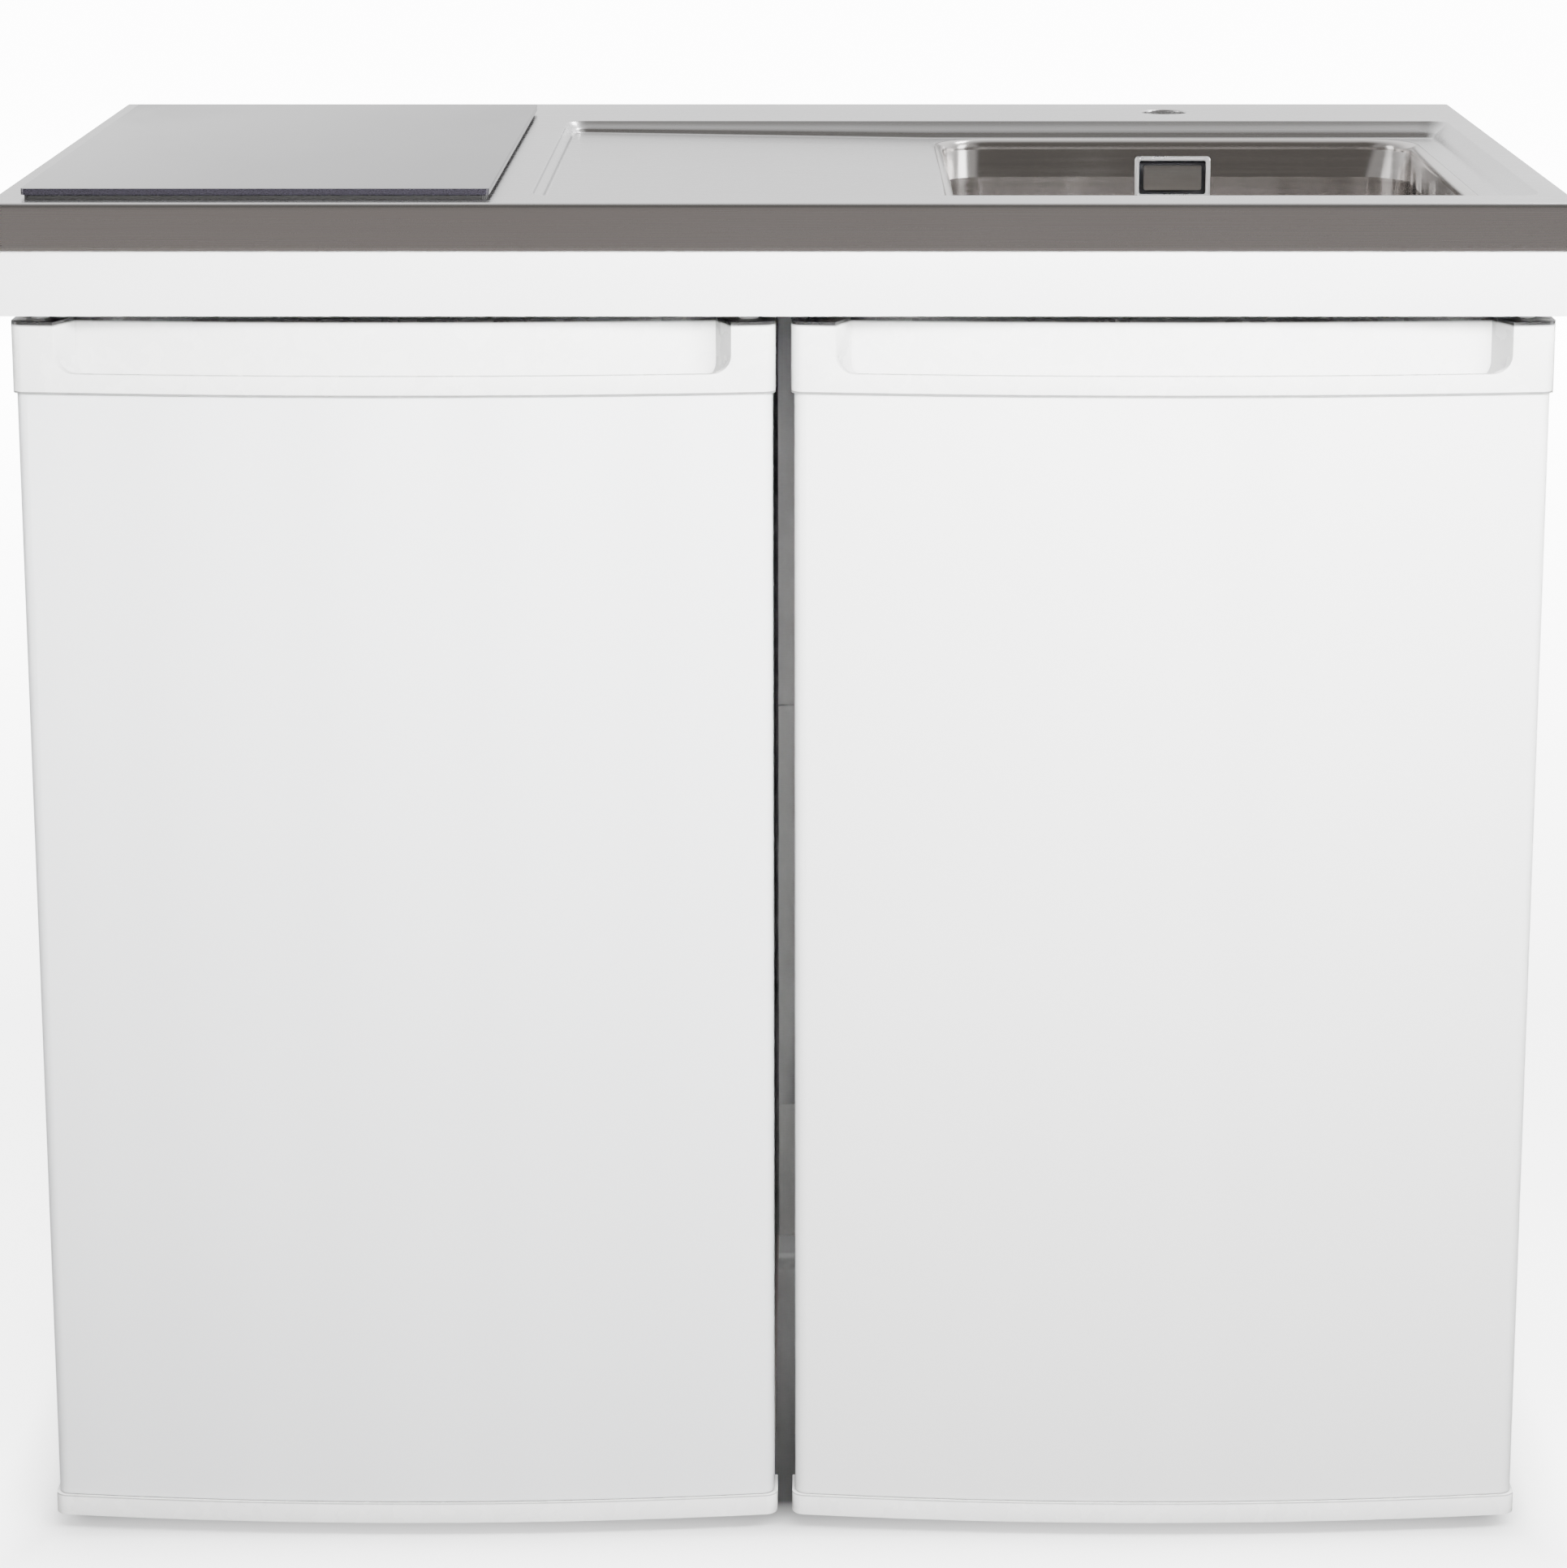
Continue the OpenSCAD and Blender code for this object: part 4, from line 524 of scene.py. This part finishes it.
def band_rings(bm):
    """The rings of the top's folded edge and of the band below it, from the top face outwards."""
    rings = []
    for k in range(7):
        a = math.radians(15 * k)
        inset = FOLD_R * (1 - math.sin(a))
        points = loop((-HALF_W + inset, HALF_W - inset), (-HALF_D + inset, HALF_D - inset), CORNER_R - inset)
        rings.append(ring(bm, points, TOP_Z - FOLD_R * (1 - math.cos(a))))
    points = loop((-HALF_W, HALF_W), (-HALF_D, HALF_D), CORNER_R)
    for z in (TOP_Z - FOLD_R - 0.002, BAND_Z + 0.002, BAND_Z):
        rings.append(ring(bm, points, z))
    return rings


def tap_hole_rings(bm):
    """The rings of the tap hole's rounded lip and of the collar below it."""
    rings = []
    for degrees in (0, 30, 60, 90):
        a = math.radians(degrees)
        points = circle(TAP, TAP_R - 0.0006 + 0.0021 * (1 - math.sin(a)), 48)
        rings.append(ring(bm, points, TOP_Z - TAP_LIP * (1 - math.cos(a))))
    rings.append(ring(bm, points, BAND_Z - 0.0005))
    return rings


def recess_rings(bm):
    """The rings of the recess's pressed wall. Along the drainer its run and its fall both shrink by the same share."""
    mark = 0.02
    marks_x = steps(RECESS_X[0] + mark, SPLIT_X, 6) + steps(SPLIT_X, RECESS_X[1] - mark, 8)[1:]
    marks_y = steps(RECESS_Y[0] + mark, RECESS_Y[1] - mark, 8)
    rings = []
    first = None
    for inset, share in pressed_edge():
        points = loop((RECESS_X[0] + inset, RECESS_X[1] - inset), (RECESS_Y[0] + inset, RECESS_Y[1] - inset),
                      max(RECESS_R - inset * 0.75, 0.004), marks_x, marks_y)
        first = first or points
        eased = []
        for (ax, ay), (bx, by) in zip(first, points):
            k = recess_drop(ax) / DROP
            eased.append((ax + (bx - ax) * k, ay + (by - ay) * k))
        rings.append(ring(bm, eased, lambda px, py, s=share: TOP_Z - s * recess_drop(px)))
    return rings


def in_order(verts):
    """The verts, sorted around their middle."""
    cx = sum(v.co.x for v in verts) / len(verts)
    cy = sum(v.co.y for v in verts) / len(verts)
    return sorted(verts, key=lambda v: math.atan2(v.co.y - cy, v.co.x - cx))


def build_deck():
    """The worktop's sheet: band, top face with its holes, and recess with drainer."""
    bm = bmesh.new()
    band = band_rings(bm)
    hob_hole = ring(bm, loop((HOB[0] - HOB_HOLE_HW, HOB[0] + HOB_HOLE_HW),
                             (HOB[1] - HOB_HOLE_HD, HOB[1] + HOB_HOLE_HD), 0.003), TOP_Z)
    tap = tap_hole_rings(bm)
    recess = recess_rings(bm)
    for rings in (band, tap, recess):
        for a, b in zip(rings, rings[1:]):
            skin_between(bm, a, b)
    flat_fill(bm, band[0], hob_hole, tap[0], recess[0])

    # The drainer's sloped floor and the flat one around the bowl meet on the line at SPLIT_X.
    floor = recess[-1]
    split = sorted((v for v in floor if abs(v.co.x - SPLIT_X) < 1e-7), key=lambda v: v.co.y)
    bm.edges.new(split)
    flat_fill(bm, in_order([v for v in floor if v.co.x <= SPLIT_X + 1e-7]))
    rim = ring(bm, rim_points(0.0), TOP_Z - DROP)
    flat_fill(bm, in_order([v for v in floor if v.co.x >= SPLIT_X - 1e-7]), rim)
    sheet_piece("deck_sheet", bm, "worktop_steel", "unit", ["worktop_deck"])


def rim_points(inset):
    """The bowl's outline, from the outside of its rolled rim inwards. Extra points frame the overflow's hole."""
    hw, hd = BOWL_HW + RIM_R - inset, BOWL_HD + RIM_R - inset
    hole = OVERFLOW_W / 2 - OVERFLOW_LIP
    marks_x = [BOWL_X - 0.1, BOWL_X - hole, BOWL_X + hole, BOWL_X + 0.1]
    marks_y = [BOWL_Y - 0.1, BOWL_Y, BOWL_Y + 0.1]
    return loop((BOWL_X - hw, BOWL_X + hw), (BOWL_Y - hd, BOWL_Y + hd), BOWL_R + RIM_R - inset,
                marks_x, marks_y, 10)


def build_bowl():
    """The bowl's sheet: rolled rim, wall with the overflow's hole, rounded foot and floor with the drain's hole."""
    bm = bmesh.new()
    rim_z = TOP_Z - DROP
    hole_z = (OVERFLOW_Z[0] + OVERFLOW_LIP, OVERFLOW_Z[1] - OVERFLOW_LIP)
    levels = []
    for k in range(7):
        a = math.radians(15 * k)
        levels.append(ring(bm, rim_points(RIM_R * math.sin(a)), rim_z - RIM_R * (1 - math.cos(a))))
    for z in (hole_z[1], hole_z[0], 0.80, BOWL_Z + FLOOR_R + 0.004, BOWL_Z + FLOOR_R):
        levels.append(ring(bm, rim_points(RIM_R), z))
    for k in range(1, 7):
        a = math.radians(15 * k)
        levels.append(ring(bm, rim_points(RIM_R + FLOOR_R * (1 - math.cos(a))),
                           BOWL_Z + FLOOR_R * (1 - math.sin(a))))
    dropped = []
    for a, b in zip(levels, levels[1:]):
        for face in skin_between(bm, a, b):
            c = face.calc_center_median()
            if (abs(c.x - BOWL_X) < OVERFLOW_W / 2 - OVERFLOW_LIP and c.y > BOWL_Y + BOWL_HD - 0.001
                    and hole_z[0] < c.z < hole_z[1]):
                dropped.append(face)
    bmesh.ops.delete(bm, geom=dropped, context="FACES_ONLY")
    drain = ring(bm, circle((BOWL_X, BOWL_Y), DRAIN_R, 64), BOWL_Z)
    flat_fill(bm, levels[-1], drain)
    sheet_piece("bowl_sheet", bm, "bowl_steel", "unit", ["sink_bowl"], offset=1.0)


build_deck()
build_bowl()


# ---- Stage ----

# Painted shadow on the floor along Y, from 0.35 m before the unit's middle to 0.45 m behind it: one for the whole
# width under the unit, one for the strip under the slot between the cabinets.
SHADE_SPAN = (-0.35, 0.45)
SHADOW_UNDER_UNIT = ((0.07, grey(1)), (0.125, grey(0.10)), (0.216, grey(0.20)), (0.3175, grey(0.36)),
              (0.499, grey(0.78)), (0.699, grey(0.95)), (0.87, grey(1)))
SHADOW_UNDER_SLOT = ((0.70, grey(1)), (0.73, grey(0.30)), (0.75, grey(0.05)), (0.815, grey(0.02)), (0.83, grey(1)))


def floor_material():
    """A pale floor: glowing white for the camera around the unit, with a painted shadow under it, a dim warm glow in
    reflections and dim in bounced light.
    """
    m = Surface("floor_pale")
    place = m.axes(m.coords)
    past = {}
    for axis, middle, half in (("X", 0.0, 0.47), ("Y", 0.03, 0.26)):
        past[axis] = m.calc("SUBTRACT", m.calc("ABSOLUTE", m.calc("SUBTRACT", place[axis], middle)), half)

    base = m.ramp(m.noise(2.0, 3.0), [(0.3, grey(0.86)), (0.7, grey(0.89))])
    along = m.spread(place["Y"], 0.0, 1.0, *SHADE_SPAN)
    # Painted shadow under the unit and under the slot between the cabinets.
    for stops, low, high in ((SHADOW_UNDER_UNIT, 0.0, 0.04), (SHADOW_UNDER_SLOT, -0.455, -0.445)):
        beside = m.spread(past["X"], 0.0, 1.0, low, high)
        base = m.mix(base, m.mix(m.ramp(along, stops), grey(1), beside, "MIX"))
    m.set(Base_Color=base, Roughness=0.65)

    # The floor glows white for the camera away from the unit, fading out near it so that the painted shadow shows.
    away = m.calc("MAXIMUM", m.calc("MULTIPLY", past["X"], 2.2), past["Y"])
    glow = m.add("ShaderNodeEmission")
    m.link(m.calc("ADD", m.spread(away, 0.0, 3.5, 0.0, 0.16), m.spread(away, 0.0, 9.0, 0.6, 4.5)),
           glow.inputs["Strength"])
    lit = m.add("ShaderNodeAddShader")
    m.link(m.bsdf.outputs[0], lit.inputs[0])
    m.link(glow.outputs[0], lit.inputs[1])
    bounce = m.add("ShaderNodeBsdfDiffuse", Color=(0.25, 0.25, 0.25, 1), Roughness=0.5)
    # In reflections the floor shows as a dim warm glow instead of its lit colour.
    mirrored = m.add("ShaderNodeEmission", Color=(1.0, 0.90, 0.855, 1), Strength=0.35)
    ray = m.add("ShaderNodeLightPath").outputs
    shown = m.mix_shader(ray["Is Camera Ray"], bounce.outputs[0], lit.outputs[0])
    m.link(m.mix_shader(ray["Is Glossy Ray"], shown, mirrored.outputs[0]), m.out.inputs[0])
    return m.mat


def area_light(name, place, aim, size, power, mirrored=True, spread=180, lit=True):
    """A soft lamp that the camera doesn't see. It may be left out of reflections or of diffuse light."""
    data = bpy.data.lights.new(name, "AREA")
    data.shape = "RECTANGLE"
    data.size, data.size_y = size
    data.energy = power
    data.spread = math.radians(spread)
    obj = bpy.data.objects.new(name, data)
    obj.location = place
    obj.rotation_mode = "QUATERNION"
    obj.rotation_quaternion = (Vector(aim) - Vector(place)).to_track_quat("-Z", "Y")
    obj.visible_glossy = mirrored
    obj.visible_camera = False
    obj.visible_diffuse = lit
    bpy.context.scene.collection.objects.link(obj)


def light_world():
    """A white backdrop for the camera, and for all else a studio that is dark in front and bright behind."""
    world = bpy.data.worlds.new("studio")
    bpy.context.scene.world = world
    world.use_nodes = True
    n = Nodes(world.node_tree)
    way = n.axes(n.texture.outputs["Generated"])
    behind = n.ramp(n.spread(way["Y"], 0.0, 1.0, -1.0, 1.0), [(0.30, (0.085, 0.080, 0.075)), (0.85, grey(1.0))])
    # Both sides are a little lighter above the horizon, and the left one is dimmed again.
    rise = n.ramp(way["Z"], [(0.06, grey(0.0)), (0.24, (0.30, 0.295, 0.29))])
    side = n.spread(n.calc("ABSOLUTE", way["X"]), 0.0, 1.0, 0.38, 0.60)
    lifted = n.mix(behind, n.mix(rise, side), blend="LIGHTEN")
    dimmed = n.mix(lifted, n.spread(way["X"], 0.62, 1.0, -0.95, -0.45))
    room = n.add("ShaderNodeBackground", Strength=1.7)
    n.link(dimmed, room.inputs["Color"])
    backdrop = n.add("ShaderNodeBackground", Color=(1, 1, 1, 1), Strength=14.0)
    camera_ray = n.add("ShaderNodeLightPath").outputs["Is Camera Ray"]
    shown = n.mix_shader(camera_ray, room.outputs[0], backdrop.outputs[0])
    n.link(shown, n.add("ShaderNodeOutputWorld").inputs[0])


floor_mesh = bpy.data.meshes.new("studio_floor")
bm = bmesh.new()
bmesh.ops.create_grid(bm, x_segments=8, y_segments=8, size=14.0)
bm.to_mesh(floor_mesh)
bm.free()
floor = bpy.data.objects.new("studio_floor", floor_mesh)
bpy.context.scene.collection.objects.link(floor)
floor_mesh.materials.append(floor_material())

area_light("key_front", (0.45, -1.35, 1.22), (0.25, -0.3, 0.95), (1.8, 0.25), 85, mirrored=False, spread=140)
area_light("fill_front", (-0.3, -4.2, 2.0), (0.0, 0.0, 0.8), (3.0, 1.2), 45, mirrored=False)
area_light("lens_fill", (0.008, -3.2, 1.2), (0.0, -0.3, 0.6), (0.14, 0.5), 38, mirrored=False)
area_light("side_left", (-2.8, -0.5, 1.5), (0.0, 0.0, 0.6), (0.9, 2.2), 26)
area_light("side_right", (2.8, -0.5, 1.5), (0.0, 0.0, 0.6), (0.9, 2.2), 46)
area_light("corner_glint", (1.05, 0.8, 2.4), (-0.1, 0.1, 0.89), (0.4, 0.4), 14, lit=False)
area_light("back_floor", (0.0, 4.0, 3.6), (0.0, 2.6, 0.0), (6.0, 3.0), 420, mirrored=False)
light_world()


# ---- Camera ----

# The photograph's level camera, with most of its shift turned into pitch, because other views keep the shift.
FOCAL_PX, PHOTO_W_PX = 5500, 1931
CAMERA_AWAY, CAMERA_Z, CAMERA_PITCH = 2.781, 1.250, 12.60

cam_data = bpy.data.cameras.new("camera")
cam = bpy.data.objects.new("camera", cam_data)
bpy.context.scene.collection.objects.link(cam)
cam_data.sensor_fit = "HORIZONTAL"
cam_data.sensor_width = 36.0
cam_data.lens = FOCAL_PX / PHOTO_W_PX * cam_data.sensor_width
cam_data.shift_x, cam_data.shift_y = -0.018, -0.10
cam.location = (0.018, -HALF_D - CAMERA_AWAY, CAMERA_Z)
cam.rotation_mode = "XYZ"
cam.rotation_euler = (math.radians(90 - CAMERA_PITCH), 0, 0)
cam_data.clip_start, cam_data.clip_end = 0.05, 60
bpy.context.scene.camera = cam
